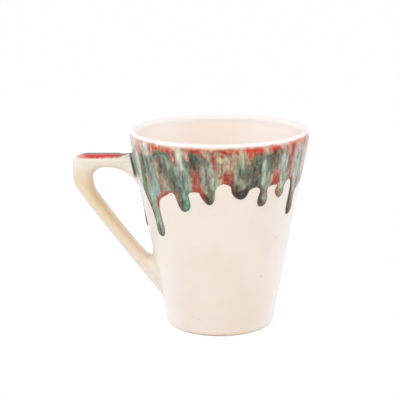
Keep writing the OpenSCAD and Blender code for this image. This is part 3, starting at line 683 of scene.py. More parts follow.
# Colour along the lower edge: degrees from and to, colour, strength, and how far in it reaches in millimetres
FRONT_RIMS = [
    (193, 203, "mist", 0.6, 1.2), (203.5, 208, "brown", 0.6, 1), (204.4, 215.6, "wine", 0.9, 2.2),
    (215.4, 217, "green", 0.6, 1.2), (217, 220.6, "black", 0.7, 1.2), (220.6, 223.6, "umber", 0.3, 0.8),
    (220, 230.4, "red", 0.95, 1.7), (229.6, 238, "rust", 0.95, 1.4), (237.4, 241, "red", 0.75, 1.3),
    (240.6, 244, "wine", 0.8, 1.9), (243.4, 246, "deep", 0.8, 1.2), (246, 249.4, "jade", 0.9, 1.6),
    (268.4, 274, "sea", 0.7, 0.9), (248.6, 252, "moss", 0.5, 1), (252, 258, "red", 0.95, 1.3),
    (257.2, 261.6, "red", 0.9, 1.4), (258.6, 263, "wine", 0.85, 1.9), (262.4, 265.4, "deep", 0.8, 2.4),
    (264.4, 267, "moss", 0.5, 1), (267, 271.4, "sea", 0.6, 1), (271.4, 276, "red", 0.95, 1.8),
    (275.6, 279, "rust", 0.9, 1.6), (277.6, 280.6, "wine", 0.85, 2), (280.2, 289.4, "black", 0.95, 3.2),
    (288.4, 294.6, "deep", 0.9, 1.7), (294.6, 297.4, "rust", 0.9, 1.2), (294.4, 297, "moss", 0.6, 0.9),
    (296.4, 301.6, "umber", 0.85, 2.2), (297.4, 300.6, "ink", 0.6, 1.8), (301.4, 303.6, "rust", 0.9, 1.4),
    (303.6, 306.6, "blush", 0.6, 1), (306.4, 310.8, "red", 0.9, 1.4), (311.2, 314.4, "rust", 0.7, 0.9),
    (314, 317, "moss", 0.7, 1.4), (316.8, 319, "brown", 0.7, 1.1), (319, 322, "rust", 0.85, 1),
    (321.6, 325.4, "red", 0.85, 1.2), (324.6, 328, "red", 0.85, 1.4), (325.6, 333.6, "umber", 0.85, 2.2),
    (333.4, 348, "mauve", 0.7, 1.4),
]
# Where the red reaches up to the lip, where the top edge is pink instead, and how far both fade out
TOP_REDS = [(221, 227), (286.4, 289.6), (302.4, 307.4), (318, 348)]
PINK_LIP = (204, 221)
RED_FADE = 1
PINK_FADE = 2
RIM_FADE = 0.6


# What the marks at the back are chosen from
BACK_KINDS = ["pale", "teal", "sea", "green", "moss", "slate", "plum", "deep", "straw", "blush", "mist"]


def back_marks(rng):
    """Marks for the side that is turned away: the same sorts, laid by chance."""
    marks = []
    for _ in range(150):
        deg = rng.uniform(346, 537)
        top = rng.uniform(84, 97)
        kind = rng.choice(BACK_KINDS)
        end_deg, end = deg + rng.uniform(-2, 2), top - rng.uniform(5, 14)
        marks.append((kind, deg, top, end_deg, end, rng.uniform(0.8, 3.0)))
    for _ in range(34):
        deg = rng.uniform(348, 528)
        kind = rng.choice(["scarlet", "red", "salmon", "rose", "rust"])
        top, end_deg, end = rng.uniform(97.5, 99), deg + rng.uniform(3, 11), rng.uniform(97, 98.5)
        marks.append((kind, deg, top, end_deg, end, rng.uniform(0.8, 1.8)))
    for arch_deg, arch in BACK_ARCHES:
        deg = arch_deg + rng.uniform(-1.5, 1.5)
        kind = rng.choice(["red", "rust"])
        top, end_deg = arch + rng.uniform(4, 8), deg + rng.uniform(-1, 1)
        marks.append((kind, deg, top, end_deg, arch, rng.uniform(1.2, 2.4)))
    return marks


def back_rims(rng):
    """Rim colours for the side that is turned away: an arch, then each flank of its run."""
    rims = []
    for (deg, _, half), (arch_deg, _) in zip(BACK_RUNS, BACK_ARCHES):
        rims.append((arch_deg - 4, deg - half, rng.choice(["red", "rust", "red", "green"]), 0.8, 1.5))
        rims.append((deg - half, deg, rng.choice(["wine", "umber", "moss"]), 0.9, 1.8))
        rims.append((deg, deg + half, rng.choice(["black", "green", "rust"]), 0.8, 1.8))
    return rims


def window(deg, start, end, fade):
    """1 between two directions, fading out round each of them."""
    return smooth(start - fade, start + fade, deg) * smooth(end + fade, end - fade, deg)


def ground(shape, name):
    """A named colour at each place, to lay others on."""
    return np.full(shape + (3,), linear(GLAZE_COLOURS[name]))


def lay(colour, name, share, shade=1.0):
    """Lays a named colour, darkened by shade, over what is there as far as share goes from 0 to 1."""
    colour[...] = lerp(colour, linear(GLAZE_COLOURS[name]) * shade, np.clip(share, 0, 1)[..., None])


def paint(deg, z, depth):
    """The colour of the run glaze at each place, scene-linear. depth is how far in from the lower edge."""
    rng = np.random.default_rng(SEED)
    deg = SEAM + np.mod(deg - SEAM, 360.0)
    side = np.radians(deg) * FLAT_R
    fine = streaks(deg, z, 1.2, 5.0, SEED + 1)
    broad = streaks(deg, z, 3.4, 14.0, SEED + 2)
    grain = streaks(deg, z, 1.1, 1.7, SEED + 3, octaves=2)
    fringe = streaks(deg, z, 1.0, 10.0, SEED + 7, octaves=2)
    wander = 0.4 * streaks(deg, z, 2.0, 4.0, SEED + 5)
    holes = 0.99 - 0.35 * smooth(0.0, 0.6, streaks(deg, z, 1.2, 2.4, SEED + 9, octaves=2))
    colour = ground(deg.shape, "pale")
    lay(colour, "teal", smooth(-0.35, 0.45, broad) * 0.5)
    lay(colour, "moss", smooth(0.1, 0.7, streaks(deg, z, 2.0, 9.0, SEED + 4)) * 0.6)
    # The marks, each a soft-edged bar from its start to its end
    for name, d0, z0, d1, z1, half in FRONT_MARKS + back_marks(rng):
        half = math.radians(half) * FLAT_R
        x0, x1 = math.radians(d0) * FLAT_R, math.radians(d1) * FLAT_R
        length = max(math.hypot(x1 - x0, z1 - z0), 1e-3)
        ux, uz = (x1 - x0) / length, (z1 - z0) / length
        px, pz = (side - x0 + TURN / 2) % TURN - TURN / 2, z - z0
        along = px * ux + pz * uz
        across = px * uz - pz * ux + wander
        past = np.maximum(np.maximum(-along, along - length), 0.0)
        feather = min(max(0.75 * half, 0.55), 1.3)
        off = np.hypot(across, past * 0.75) + feather * (0.55 * fine + 0.7 * grain)
        lay(colour, name, smooth(half + feather, half - feather, off) * holes)
    for d0, d1, name, share, reach in FRONT_RIMS + back_rims(rng):
        edge = smooth(1.35, 0.3, (depth + 0.25 * fringe + 0.25 * grain) / reach)
        # Red stays on the arches and leaves the low parts of the runs free
        off_runs = smooth(66, 68, z) if name == "red" else 1.0
        lay(colour, name, edge * window(deg, d0, d1, RIM_FADE) * share * off_runs)
    redder = sum(window(deg, d0, d1, RED_FADE) for d0, d1 in TOP_REDS)
    pinker = window(deg, *PINK_LIP, PINK_FADE)
    lay(colour, "salmon", smooth(98.7, 99.9, z + 0.3 * grain) * (0.6 + 0.2 * redder - 0.45 * pinker))
    # Fibres, grain and a little of every colour in every other
    fibre = streaks(deg, z, 0.9, 4.0, SEED + 11, octaves=2)
    speck = streaks(deg, z, 0.9, 1.2, SEED + 12, octaves=2)
    tint = streaks(deg, z, 1.4, 2.2, SEED + 13, octaves=2)
    lay(colour, "blush", smooth(0.0, 0.7, tint) * 0.22)
    lay(colour, "moss", smooth(0.0, -0.7, tint) * 0.2)
    colour *= (1.0 + 0.25 * fibre + 0.26 * speck)[..., None]
    # The glaze thins out at its top edge and lets the clay's own glaze through
    top = CUP_H - LIP_BARE + 0.35 * streaks(deg, z * 0, 2.5, 9.0, SEED + 6)
    lay(colour, "bare", smooth(1.5, -0.1, top + 0.3 - z + 0.25 * grain) * (1.0 - 0.6 * redder - 0.4 * pinker))
    return np.maximum(colour - SHEEN, 0.2 * colour)


# Node helpers


class Wire:
    """An output of a shader node that can stand in sums, differences and products."""

    def __init__(self, sheet, socket):
        self.sheet, self.socket = sheet, socket

    def maths(self, operation, a, b):
        return self.sheet.node("ShaderNodeMath", {"operation": operation}, {0: a, 1: b})

    def __add__(self, other):
        return self.maths("ADD", self, other)

    __radd__ = __add__

    def __sub__(self, other):
        return self.maths("SUBTRACT", self, other)

    def __rsub__(self, other):
        return self.maths("SUBTRACT", other, self)

    def __mul__(self, other):
        return self.maths("MULTIPLY", self, other)

    __rmul__ = __mul__

    def either(self, other):
        """The larger of the two."""
        return self.maths("MAXIMUM", self, other)


class Sheet:
    """The node tree of a finish or of the surroundings, empty at first."""

    def __init__(self, owner):
        owner.use_nodes = True
        self.owner, self.tree = owner, owner.node_tree
        self.tree.nodes.clear()

    def node(self, kind, settings=None, inputs=None, output=0):
        """Adds a node: settings first, then the values or wires of its sockets, by name or place."""
        made = self.tree.nodes.new(kind)
        for key, value in (settings or {}).items():
            setattr(made, key, value)
        for key, value in (inputs or {}).items():
            socket = made.inputs[key]
            if isinstance(value, Wire):
                self.tree.links.new(value.socket, socket)
            else:
                socket.default_value = value
        return Wire(self, made.outputs[output]) if made.outputs else None

    def mix(self, share, a, b, blend="MIX"):
        """Colour a, turning into b as share goes from 0 to 1."""
        settings = {"data_type": "RGBA", "blend_type": blend, "clamp_factor": True}
        return self.node("ShaderNodeMix", settings, {0: share, 6: a, 7: b}, 2)

    def mark(self, name, output="Fac"):
        """A value or colour that the mesh holds for each point."""
        return self.node("ShaderNodeAttribute", {"attribute_name": name}, None, output)

    def vector(self, operation, a, b=(0.0, 0.0, 0.0), output=0):
        return self.node("ShaderNodeVectorMath", {"operation": operation}, {0: a, 1: b}, output)

    def split(self, spot, axis):
        return self.node("ShaderNodeSeparateXYZ", None, {0: spot}, axis)

    def place(self):
        """Position in millimetres."""
        spot = self.node("ShaderNodeTexCoord", None, None, "Object")
        return self.vector("MULTIPLY", spot, (1 / MM, 1 / MM, 1 / MM))

    def edge_on(self):
        """0 where the surface faces the eye, 1 where it turns away."""
        return self.node("ShaderNodeLayerWeight", None, {"Blend": 0.5}, "Facing")

    def ray(self, name):
        return self.node("ShaderNodeLightPath", None, None, name)

    def noise(self, spot, scale, detail=2.0, rough=0.55):
        inputs = {"Vector": spot, "Scale": scale, "Detail": detail, "Roughness": rough}
        return self.node("ShaderNodeTexNoise", None, inputs)

    def step(self, value, low, high):
        """0 to 1 as value goes from low to high, in an S curve."""
        settings = {"interpolation_type": "SMOOTHSTEP"}
        return self.node("ShaderNodeMapRange", settings, {"Value": value, "From Min": low, "From Max": high})

    def bump(self, height):
        """Normals of a surface that stands off by height, in millimetres, at half strength."""
        return self.node("ShaderNodeBump", None, {"Height": height, "Strength": 0.5, "Distance": MM})

    def ceramic(self, colour, roughness, normal, coat):
        """Ends the finish as fired glaze, with a coat of clear glass."""
        inputs = {"Base Color": colour, "Roughness": roughness, "Normal": normal, "IOR": GLASS_IOR}
        inputs.update({"Coat Weight": coat, "Coat Roughness": 0.08, "Coat IOR": GLASS_IOR})
        shader = self.node("ShaderNodeBsdfPrincipled", None, inputs)
        self.node("ShaderNodeOutputMaterial", None, {"Surface": shader})
        return self.owner


def rgba(rgb):
    return tuple(linear(rgb)) + (1.0,)


# Finishes

GLASS_IOR = 1.5
# The cup's glaze: its ground and cloud, its flecks, then a painted light inside, a painted highlight at the
# edges and the lip, and thin over the foot
CREAM = (239, 226, 214)
CREAM_WARM = (236, 221, 207)
CREAM_FLECK = (222, 204, 184)
CREAM_INSIDE_LIT = (253, 239, 228)
CREAM_INSIDE_SIDE_LIT = (254, 245, 238)
CREAM_HIGHLIGHT = (249, 242, 238)
THIN_GLAZE = (238, 206, 164)
PIN_SPECK = (176, 148, 122)
IRON_SPECK = (150, 132, 112)
# The bare clay, darkened with painted contact shadow, and the sand in it
CLAY_AND_CONTACT_SHADOW = (152, 122, 96)
CLAY_SAND = (146, 118, 96)
# The strap's glaze: pale on the arm, tan on the leg and the inside of the corner, partly its own colour and
# partly painted shade on the inner side, and a painted highlight at its edges
TAN = (235, 214, 184)
TAN_DEEP_SHADE = (226, 198, 156)
TAN_FLECK = (196, 168, 128)
ARM_CREAM = (236, 226, 213)
ARM_HIGHLIGHT = (244, 238, 229)
# Rust grains in the run glaze
RUST_GRAIN = (186, 104, 80)
# Small iron specks, as degrees, height and radius: four that show in the photograph, then those out of sight
SPECKS = [
    (319.6, 51.0, 0.9), (308.4, 31.4, 0.8), (218.0, 36.4, 0.7), (249.0, 9.4, 0.5), (32.0, 44.0, 0.8),
    (96.0, 24.0, 0.6), (140.0, 58.0, 0.7),
]


def cream_finish():
    """Clear warm glaze over pale clay, wiped off round the foot."""
    s = Sheet(bpy.data.materials.new("cream_glaze"))
    spot = s.place()
    cloud = s.noise(spot, 0.045, 3.0, 0.5)
    colour = s.mix(s.step(cloud, 0.38, 0.66), rgba(CREAM), rgba(CREAM_WARM))
    fine = s.noise(spot, 0.9, 4.0, 0.6)
    colour = s.mix(s.step(fine, 0.62, 0.8) * 0.25, colour, rgba(CREAM_FLECK))
    # Scattered pin specks, then the iron specks
    cells = {"Vector": spot, "Scale": 0.16, "Randomness": 1.0}
    nearest = s.node("ShaderNodeTexVoronoi", {"feature": "F1"}, cells, "Distance")
    colour = s.mix((1.0 - s.step(nearest, 0.012, 0.05)) * 0.5, colour, rgba(PIN_SPECK))
    for deg, z, size in SPECKS:
        far = s.vector("DISTANCE", spot, tuple(on_wall(deg, z)), "Value")
        colour = s.mix((1.0 - s.step(far, size * 0.2, size)) * 0.4, colour, rgba(IRON_SPECK))
    # Painted light inside: it is paler there, most of all on the side away from the handle
    height, aside = s.split(spot, "Z"), s.split(spot, "X")
    off_axis = s.vector("LENGTH", s.vector("MULTIPLY", spot, (1, 1, 0)), output="Value")
    under_wall = FOOT_R + SLOPE * (height - FOOT_ROUND) - off_axis
    away = s.step(aside * aside + aside * 6.0, 60.0, 500.0)
    inner = s.mix(away, rgba(CREAM_INSIDE_LIT), rgba(CREAM_INSIDE_SIDE_LIT))
    colour = s.mix(s.step(under_wall, 1.6, 3.4), colour, inner)
    # Painted highlight where the surface turns away from the eye
    colour = s.mix(s.step(s.edge_on(), 0.15, 0.85) * 0.9, colour, rgba(CREAM_HIGHLIGHT))
    # Thin just above the foot and wiped off below that, where the bare clay's colour holds painted contact
    # shadow
    ragged = height + s.noise(spot, 0.35) * 0.8
    wiped = 1.0 - s.step(ragged, 0.8, 1.5)
    colour = s.mix((1.0 - s.step(ragged, 1.0, 3.4)) * 0.6, colour, rgba(THIN_GLAZE))
    # Painted highlight towards the top of the lip
    colour = s.mix(s.step(height, CUP_H - 6.0, CUP_H - 2.0), colour, rgba(CREAM_HIGHLIGHT))
    colour = s.mix(wiped, colour, rgba(CLAY_AND_CONTACT_SHADOW))
    sand = s.noise(spot, 2.6, 3.0, 0.65)
    colour = s.mix(wiped * s.step(sand, 0.5, 0.62) * 0.35, colour, rgba(CLAY_SAND))
    rough = 0.3 + 0.12 * s.noise(spot, 0.25) + wiped * 0.4
    normal = s.bump(s.noise(spot, 0.32, 2.0, 0.4) * 0.05 + sand * wiped * 0.1)
    return s.ceramic(colour, rough, normal, 0.3 * (1.0 - wiped))


def flow(s, spot, stretch):
    """Coordinates that follow the wall round and are drawn out down it."""
    round_way = s.vector("NORMALIZE", s.vector("MULTIPLY", spot, (1.0, 1.0, 0.0)))
    down = s.vector("MULTIPLY", spot, (0.0, 0.0, 1.0 / stretch))
    return s.vector("ADD", s.vector("MULTIPLY", round_way, (FLAT_R, FLAT_R, 0.0)), down)


def run_finish(name, coat):
    """Thick run glaze: the laid colours with fine streaks and grain. The streaks stop below the top edge."""
    s = Sheet(bpy.data.materials.new(name))
    spot = s.place()
    hair = s.noise(flow(s, spot, 7.0), 1.3, 4.0, 0.65)
    grain = s.noise(flow(s, spot, 2.0), 2.4, 3.0, 0.6)
    below = 1.0 - s.step(s.split(spot, "Z"), CUP_H - 5.0, CUP_H - 1.6)
    shade = 1.0 + below * (0.46 * s.step(hair, 0.34, 0.68) - 0.24)
    colour = s.mix(1.0, s.mark("paint", "Color"), shade, "MULTIPLY")
    colour = s.mix(s.step(grain, 0.56, 0.7) * 0.12, colour, rgba(RUST_GRAIN))
    rough = 0.16 + 0.16 * s.noise(spot, 0.5)
    return s.ceramic(colour, rough, s.bump(hair * 0.06 + grain * 0.02), coat)


def strap_finish(name, painted=False):
    """Thinner glaze on the strap, tan on the leg with painted shade on its inner side, and a painted
    highlight at its edges; painted adds the run glaze that reaches it.
    """
    s = Sheet(bpy.data.materials.new(name))
    spot = s.place()
    # The tan share carries painted shade on the strap's inner side
    share = s.mark("tan_and_shade") + (s.noise(spot, 0.11, 3.0) - 0.5) * 0.5
    colour = s.mix(s.step(share, 0.0, 0.62), rgba(ARM_CREAM), rgba(TAN))
    colour = s.mix(s.step(share, 0.62, 1.2) * 0.8, colour, rgba(TAN_DEEP_SHADE))
    fine = s.noise(spot, 0.8, 4.0, 0.6)
    colour = s.mix(s.step(fine, 0.6, 0.78) * 0.25, colour, rgba(TAN_FLECK))
    # Painted highlight where the strap turns away from the eye
    colour = s.mix(s.step(s.edge_on(), 0.45, 0.98) * 0.6, colour, rgba(ARM_HIGHLIGHT))
    if painted:
        colour = s.mix(s.mark("glazed"), colour, s.mark("paint", "Color"))
    rough = 0.28 + 0.16 * s.noise(spot, 0.3)
    return s.ceramic(colour, rough, s.bump(s.noise(spot, 0.35, 2.0, 0.4) * 0.08), 0.3)


# Pieces


def build_cup(finish):
    """The cup, turned from its profile: under the foot, up the outside, over the lip, down to the floor."""
    foot = arc((FOOT_R - FOOT_ROUND, FOOT_ROUND), FOOT_ROUND, FOOT_ROUND, -90, 0, 16)
    lip_out = arc((RIM_R - LIP_LEAN, CONE_TOP), LIP_LEAN, LIP_RISE, 0, 90, 22)
    in_r = RIM_R - WALL
    in_w = RIM_R - LIP_LEAN - in_r
    lip_in = arc((in_r + in_w, CUP_H - LIP_DROP), in_w, LIP_DROP, 90, 180, 16)
    in_low = in_r - SLOPE * (CUP_H - LIP_DROP - FLOOR_Z)
    lean = math.degrees(math.atan(SLOPE))
    floor_c = (in_low - FLOOR_ROUND * math.tan(math.radians(45 - lean / 2)), FLOOR_Z + FLOOR_ROUND)
    floor_turn = arc(floor_c, FLOOR_ROUND, FLOOR_ROUND, -lean, -90, 16)
    between = lambda a, b, n: np.linspace(a, b, n + 1)[1:-1]
    under = np.array([(HOLLOW_R - HOLLOW_SLOPE, HOLLOW_D), (HOLLOW_R, 0)])
    profile = np.concatenate([
        [(0, HOLLOW_D)], between((0, HOLLOW_D), under[0], 8), under,
        between(under[1], foot[0], 3), foot, between(foot[-1], lip_out[0], 60), lip_out,
        lip_in[1:], between(lip_in[-1], floor_turn[0], 50), floor_turn,
        between(floor_turn[-1], (0, FLOOR_Z), 8), [(0, FLOOR_Z)],
    ])
    points, faces = turned(profile.tolist(), CUP_SEGMENTS)
    make_piece("cup", points, faces, finish, "cup_body")


def tan_and_inner_shade(points):
    """How tan the strap is, its glaze's colour with painted shade on the inner side: the leg and the inside
    of the corner most, the arm and the outer face least.
    """
    z = points[:, 2]
    leg = smooth(86, 72, z) * smooth(22, 46, z)
    face = (points[:, [0, 2]] - HEEL_C) @ LEG_OUT
    inner = smooth(HEEL_R - 0.2, HEEL_R - 6.0, face)
    return np.clip(0.08 + leg * (0.2 + 0.85 * inner * smooth(28, 66, z)), 0, 1.4)


def build_strap(finish):
    rings = np.array([section(o, i) for o, i in strap_pairs()])
    points, faces = skin(rings)
    make_piece("strap", points, faces, finish, "handle", {"tan_and_shade": tan_and_inner_shade(points)})
    return rings


# How each joint comes on to the wall, as (outer, inner, side) values of joint_rings
UPPER_SPREAD = {"runs": (1.6, 10.1, 2.6), "starts": (3, 99, 4), "backs": (0, 3.6, 0), "drops": (0, 2.2, 0)}
LOWER_SPREAD = {"runs": (-3.6, 13.2, 3), "starts": (99, 99, 7), "backs": (6.8, 0, 0), "drops": (0, 0, 0)}


def build_joints(rings, upper_finish, lower_finish):
    """The worked clay at both ends of the strap. The run glaze reaches the upper one round its edge."""
    upper = joint_rings(rings[0], (1.0, 0.0, 0.0), **UPPER_SPREAD)
    points, faces = skin(upper[::-1])
    x, y, z = points.T
    under_wall = wall_r(z) - np.hypot(x, y)
    flanks = np.maximum(smooth(3.0, 5.5, np.abs(y)), smooth(87.0, 89.0, z))
    glazed = smooth(-2.3, -1.8, under_wall) * flanks * smooth(77.5, 80.5, z)
    colour = paint(np.degrees(np.arctan2(y, x)) % 360, z, np.ones(len(z)))
    lay(colour, "ink", 0.95 * smooth(-0.7, -1.2, under_wall), 0.3)
    lay(colour, "red", 0.8 * (smooth(-1.5, -2.0, under_wall) * smooth(83, 86, z)))
    marks = {"tan_and_shade": 0.3 * tan_and_inner_shade(points), "glazed": glazed, "paint": colour}
    make_piece("upper_joint_clay", points, faces, upper_finish, "upper_joint", marks)
    points, faces = skin(joint_rings(rings[-1], (LEG_DIR[0], 0.0, LEG_DIR[1]), **LOWER_SPREAD))
    marks = {"tan_and_shade": tan_and_inner_shade(points)}
    make_piece("lower_joint_clay", points, faces, lower_finish, "lower_joint", marks)
    return upper


# How far outside its edge a glaze is still made, where it has dipped into the clay
MARGIN = 0.3


def grid_piece(name, points, depth, colour, finish, node, closed=False, flip=False):
    """A glaze piece from a grid of points, of which only the cells inside its edge are made. closed joins the
    last column to the first, and flip turns the faces round."""
    index = np.arange(depth.size).reshape(depth.shape)
    if closed:
        index = np.concatenate([index, index[:, :1]], axis=1)
    quads = np.stack([index[:-1, :-1], index[:-1, 1:], index[1:, 1:], index[1:, :-1]], axis=-1).reshape(-1, 4)
    quads = quads[(depth.ravel() > -MARGIN)[quads].any(axis=1)]
    used, corners = np.unique(quads, return_inverse=True)
    faces = corners.reshape(quads.shape)
    faces = faces[:, ::-1] if flip else faces
    marks = {"paint": colour.reshape(-1, 3)[used]}
    make_piece(name, points.reshape(-1, 3)[used], faces.tolist(), finish, node, marks)


# Where the band is thinner: from behind the right edge on, and beside the handle
THIN_BACK = ((336, 348), (384, 372))
THIN_HANDLE = (196, 188)


def build_band(edge, finish):
    """The run glaze round the cup, from its hanging edge up to just under the lip."""
    cols = int(round(TURN / GRID))
    rows = int(round((CUP_H - BAND_LOW) / GRID))
    deg, z = np.meshgrid(SEAM + 360.0 * np.arange(cols) / cols, np.linspace(BAND_LOW, CUP_H - BAND_TOP, rows))
    low = edge.depth(deg, z) + EDGE_SWELL
    top = CUP_H - LIP_BARE + 0.25 * streaks(deg, z * 0, 4.0, 9.0, SEED + 8)
    depth = np.minimum(low, (top - z) * 0.9)
    tips = FRONT_TIPS + [(d, t + 1.0) for d, t, _ in BACK_RUNS]
    stand = glaze_height(deg, z, depth, near_tips(deg, z, tips))
    thin = np.maximum(smooth(*THIN_BACK[0], deg) * smooth(*THIN_BACK[1], deg), smooth(*THIN_HANDLE, deg))
    stand = np.where(stand > 0, stand * (1.0 - 0.5 * thin), stand)
    points, colour = on_wall(deg, z, stand), paint(deg, z, low)
    grid_piece("run_band", points, depth, colour, finish, "drip_glaze", closed=True)


def build_lone_run(finish):
    """The single run that comes out under the upper joint: pale at first, green and dark at its tip."""
    tip_deg, tip_z = LONE_TIP
    left = [(tip_deg - half, height) for half, height in LONE_FLANK]
    right = [(tip_deg + half, height) for half, height in reversed(LONE_FLANK)]
    edge = Edge(through(left + [LONE_TIP] + right), turns=(0,))
    deg, z = np.meshgrid(np.arange(tip_deg - 6, tip_deg + 6, 0.45), np.arange(tip_z - 1.5, LONE_TOP, 0.34))
    depth = edge.depth(deg, z)
    pool = near_tips(deg, z, [(tip_deg, tip_z + 1.4)])
    points = on_wall(deg, z, glaze_height(deg, z, depth, pool) * LONE_SHARE)
    colour = ground(deg.shape, "mist")
    lay(colour, "green", smooth(62, 58, z))
    lay(colour, "deep", smooth(58.5, 56, z), 0.6)
    grid_piece("lone_run", points, depth, colour, finish, "under_handle_run")


# The stroke's grid: the arm's sections that it spans, degrees over the arm to each side, columns and rows
STROKE_SECTIONS = 20
STROKE_OVER = 80
STROKE_COLS = 61
STROKE_ROWS = 110
# Its thickness at the edge, and what its middle has more near the wall and further out
STROKE_EDGE = 0.05
STROKE_THIN = 0.08
STROKE_THICK = 0.18


def build_stroke(rings, upper, finish):
    """The brush stroke over the top of the arm: thick grey-green along the middle, red at its thin edges."""
    # Sections of the upper joint and of the arm, from the wall outwards
    path = np.concatenate([upper[1:-4][::-1], rings[:STROKE_SECTIONS]])
    steps = np.linalg.norm(np.diff(path.mean(axis=1)[:, [0, 2]], axis=0), axis=1)
    reached = np.concatenate([[0], np.cumsum(steps)])
    span = reached[-1]
    # Their upper part as a finer grid: rows along the arm, columns over it
    over = np.mod(np.linspace(-STROKE_OVER, STROKE_OVER, STROKE_COLS) / 360.0, 1.0) * SIDES
    low = np.floor(over).astype(int)
    wrapped = np.concatenate([path, path[:, :1]], axis=1)
    upper_part = lerp(wrapped[:, low], wrapped[:, low + 1], (over - low)[None, :, None])
    rows = np.linspace(0, span, STROKE_ROWS)
    spots = np.apply_along_axis(lambda line: np.interp(rows, reached, line), 0, upper_part)
    normal = np.cross(np.gradient(spots, axis=1), np.gradient(spots, axis=0))
    normal /= np.linalg.norm(normal, axis=2)[..., None]
    outward = spots - spots.mean(axis=1, keepdims=True)
    normal *= np.sign(np.sum(normal * outward, axis=2))[..., None]
    # Millimetres over the arm from its middle line, above 0 towards the back, and share of the way out
    cells = np.linalg.norm(np.diff(spots, axis=1, prepend=spots[:, :1]), axis=2)
    over_mm = np.cumsum(cells, axis=1)
    over_mm -= over_mm[:, [len(over) // 2]]
    far = np.broadcast_to(rows[:, None], over_mm.shape)
    t = far / span
    # How far the stroke reaches down the front and the back of the arm
    front = lerp(0.4, 5.7, smooth(0.0, 0.4, t)) + 0.8 * smooth(0.55, 0.75, t) - 4.0 * smooth(0.84, 1.0, t)
    front += 0.7 * streaks(far * 4.0, 20.0, 5.0, 40.0, SEED + 40)
    back = lerp(0.4, 6.8, smooth(0.2, 0.5, t)) - 9.0 * smooth(0.64, 0.96, t)
    back += 0.5 * streaks(far * 4.0, 100.0, 8.0, 40.0, SEED + 40)
    ends = np.minimum(far + 0.3, (span - 1.4 - far) * 0.8)
    depth = np.minimum(np.minimum(front + over_mm, back - over_mm), ends)
    full = STROKE_EDGE + lerp(STROKE_THIN, STROKE_THICK, smooth(0.2, 0.4, t))
    points = spots + normal * rounded(depth, STROKE_EDGE, full)[..., None]
    blur = streaks(far * 9.0, over_mm + 30, 5.0, 1.4, SEED + 41)
    fine = streaks(far * 9.0, over_mm + 30, 3.0, 0.8, SEED + 42)
    middle = smooth(0.24, 0.36, t + 0.04 * blur) * smooth(0.92, 0.8, t + 0.04 * blur)
    colour = ground(depth.shape, "red")
    lay(colour, "crimson", smooth(0.6, -1.0, over_mm + blur) * middle)
    lay(colour, "wine", smooth(0.1, 0.7, fine) * middle * 0.45)
    lay(colour, "slate", smooth(-2.4, -0.6, over_mm + 1.2 * blur) * middle)
    lay(colour, "ink", smooth(-1.4, 0.2, over_mm + 1.6 * blur) * middle * 0.35)
    lay(colour, "sea", smooth(0.1, 0.7, fine) * smooth(-1.0, 0.6, over_mm) * middle * 0.6)
    lay(colour, "rust", smooth(1.6, 0.5, back - over_mm + 0.6 * blur) * 0.8)
    lay(colour, "salmon", (1.0 - middle) * 0.85)
    lay(colour, "plum", smooth(0.12, 0.2, t) * smooth(0.46, 0.36, t) * 0.5)
    lay(colour, "pink", smooth(0.76, 0.86, t) * 0.85)
    lay(colour, "rose", smooth(1.1, 0.2, depth + 0.5 * blur) * smooth(1.0, -1.0, over_mm) * 0.85)
    lay(colour, "ink", smooth(0.09, 0.04, t))
    colour = np.maximum(colour * 0.95 - 0.02, 0.3 * colour)
    grid_piece("arm_stroke", points, depth, colour, finish, "handle_glaze", flip=True)


# Stage: camera, lamp, floor and surroundings

# Camera distance from the middle of the cup, its height above level, and its lens
CAMERA_FAR = 700.0
CAMERA_UP = math.radians(14.2)
LENS = 122.76
SENSOR = 36.0
IMAGE = 400
# Place in the photograph of the middle of the cup, and how far the picture leans
MIDDLE_PX = (219.76, 225.95)
PICTURE_LEAN = math.radians(0.5)
# The lamp in front of the cup, in metres and watts
KEY_PLACE = (-0.1, -0.8, 0.72)
KEY_AIM = (0, 0, 0.08)
KEY_SIZE = 0.8
KEY_WATTS = 3.6
# The floor, a square of this half width in metres: grey under the light, near white as the eye sees it
FLOOR_HALF = 3.0
FLOOR_GREY = (0.9, 0.9, 0.9, 1.0)
FLOOR_WHITE = 0.97
WHITE = (1.0, 1.0, 1.0, 1.0)
# Light of the white surroundings, and what its sides, its back and its top have more of it
ROOM_LIGHT = 0.58
ROOM_SIDES = 0.75
ROOM_BACK = 0.2
ROOM_TOP = 0.15


def add_object(name, data):
    made = bpy.data.objects.new(name, data)
    bpy.context.scene.collection.objects.link(made)
    return made


def add_camera():
    """The camera that took the photograph, looking at the cup from in front."""
    data = bpy.data.cameras.new("camera")
    data.lens, data.sensor_width = LENS, SENSOR
    camera = add_object("camera", data)
    middle = Vector((0, 0, CUP_H / 2)) * MM
    place = middle + Vector((0, -math.cos(CAMERA_UP), math.sin(CAMERA_UP))) * CAMERA_FAR * MM
    ahead = (middle - place).normalized()
    right = Vector((1, 0, 0))
    up = right.cross(ahead)
    # The picture's centre lies beside the middle of the cup
    focal = LENS / SENSOR * IMAGE
    off_x, off_y = IMAGE / 2 - MIDDLE_PX[0], MIDDLE_PX[1] - IMAGE / 2
    c, s = math.cos(PICTURE_LEAN), math.sin(PICTURE_LEAN)
    off_x, off_y = c * off_x + s * off_y, -s * off_x + c * off_y
    aim = (ahead * focal + right * off_x + up * off_y).normalized()
    side = aim.cross(Vector((0, 0, 1))).normalized()
    top = side.cross(aim)
    side, top = side * c - top * s, top * c + side * s
    camera.matrix_world = Matrix.Translation(place) @ Matrix((side, top, -aim)).transposed().to_4x4()
    bpy.context.scene.camera = camera


def add_lamp():
    data = bpy.data.lights.new("key", "AREA")
    data.shape, data.size, data.energy = "DISK", KEY_SIZE, KEY_WATTS
    lamp = add_object("key", data)
    place = Vector(KEY_PLACE)
    lamp.location = place
    lamp.rotation_euler = (Vector(KEY_AIM) - place).to_track_quat("-Z", "Y").to_euler()


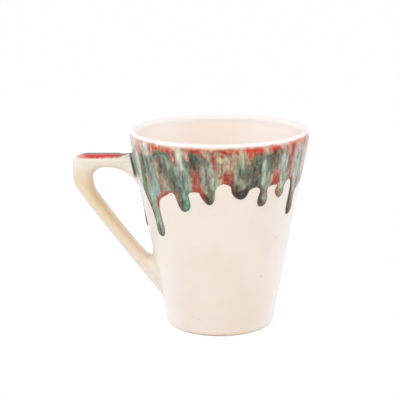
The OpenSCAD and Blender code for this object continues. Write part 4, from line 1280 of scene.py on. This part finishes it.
def add_floor():
    """A floor that is lit like paper but looks white to the camera and in reflections."""
    mesh = bpy.data.meshes.new("floor")
    corners = [(-FLOOR_HALF, -FLOOR_HALF, 0), (FLOOR_HALF, -FLOOR_HALF, 0), (FLOOR_HALF, FLOOR_HALF, 0)]
    mesh.from_pydata(corners + [(-FLOOR_HALF, FLOOR_HALF, 0)], [], [(0, 1, 2, 3)])
    floor = add_object("floor", mesh)
    s = Sheet(bpy.data.materials.new("white_sweep"))
    seen = s.ray("Is Camera Ray").either(s.ray("Is Glossy Ray")).either(s.ray("Is Transmission Ray"))
    plain = s.node("ShaderNodeBsdfDiffuse", None, {"Color": FLOOR_GREY})
    white = s.node("ShaderNodeEmission", None, {"Color": WHITE, "Strength": 1.0})
    both = s.node("ShaderNodeMixShader", None, {0: seen * FLOOR_WHITE, 1: plain, 2: white})
    s.node("ShaderNodeOutputMaterial", None, {"Surface": both})
    mesh.materials.append(s.owner)


def add_surroundings():
    """Soft light from all round, brighter at the sides; what is seen past the mug is plain white."""
    world = bpy.data.worlds.new("surroundings")
    bpy.context.scene.world = world
    w = Sheet(world)
    seen = w.ray("Is Camera Ray").either(w.ray("Is Transmission Ray"))
    way = w.node("ShaderNodeTexCoord", None, None, "Generated")
    across, along, up = (w.split(way, axis) for axis in "XYZ")
    light = ROOM_LIGHT + ROOM_SIDES * (across * across) + ROOM_BACK * along + ROOM_TOP * up
    room = w.node("ShaderNodeBackground", None, {"Color": WHITE, "Strength": light})
    back = w.node("ShaderNodeBackground", None, {"Color": WHITE, "Strength": 1.0})
    both = w.node("ShaderNodeMixShader", None, {0: seen, 1: room, 2: back})
    w.node("ShaderNodeOutputWorld", None, {"Surface": both})


add_camera()
add_lamp()
add_floor()
add_surroundings()

run = run_finish("run_glaze", 0.15)
strap_rings = build_strap(strap_finish("strap_glaze"))
joint_finishes = strap_finish("upper_joint_glaze", painted=True), strap_finish("lower_joint_glaze")
upper_rings = build_joints(strap_rings, *joint_finishes)
build_cup(cream_finish())
build_band(Edge(band_edge()), run)
build_lone_run(run)
build_stroke(strap_rings, upper_rings, run_finish("stroke_glaze", 0.0))

bpy.context.scene.view_settings.view_transform = "Standard"
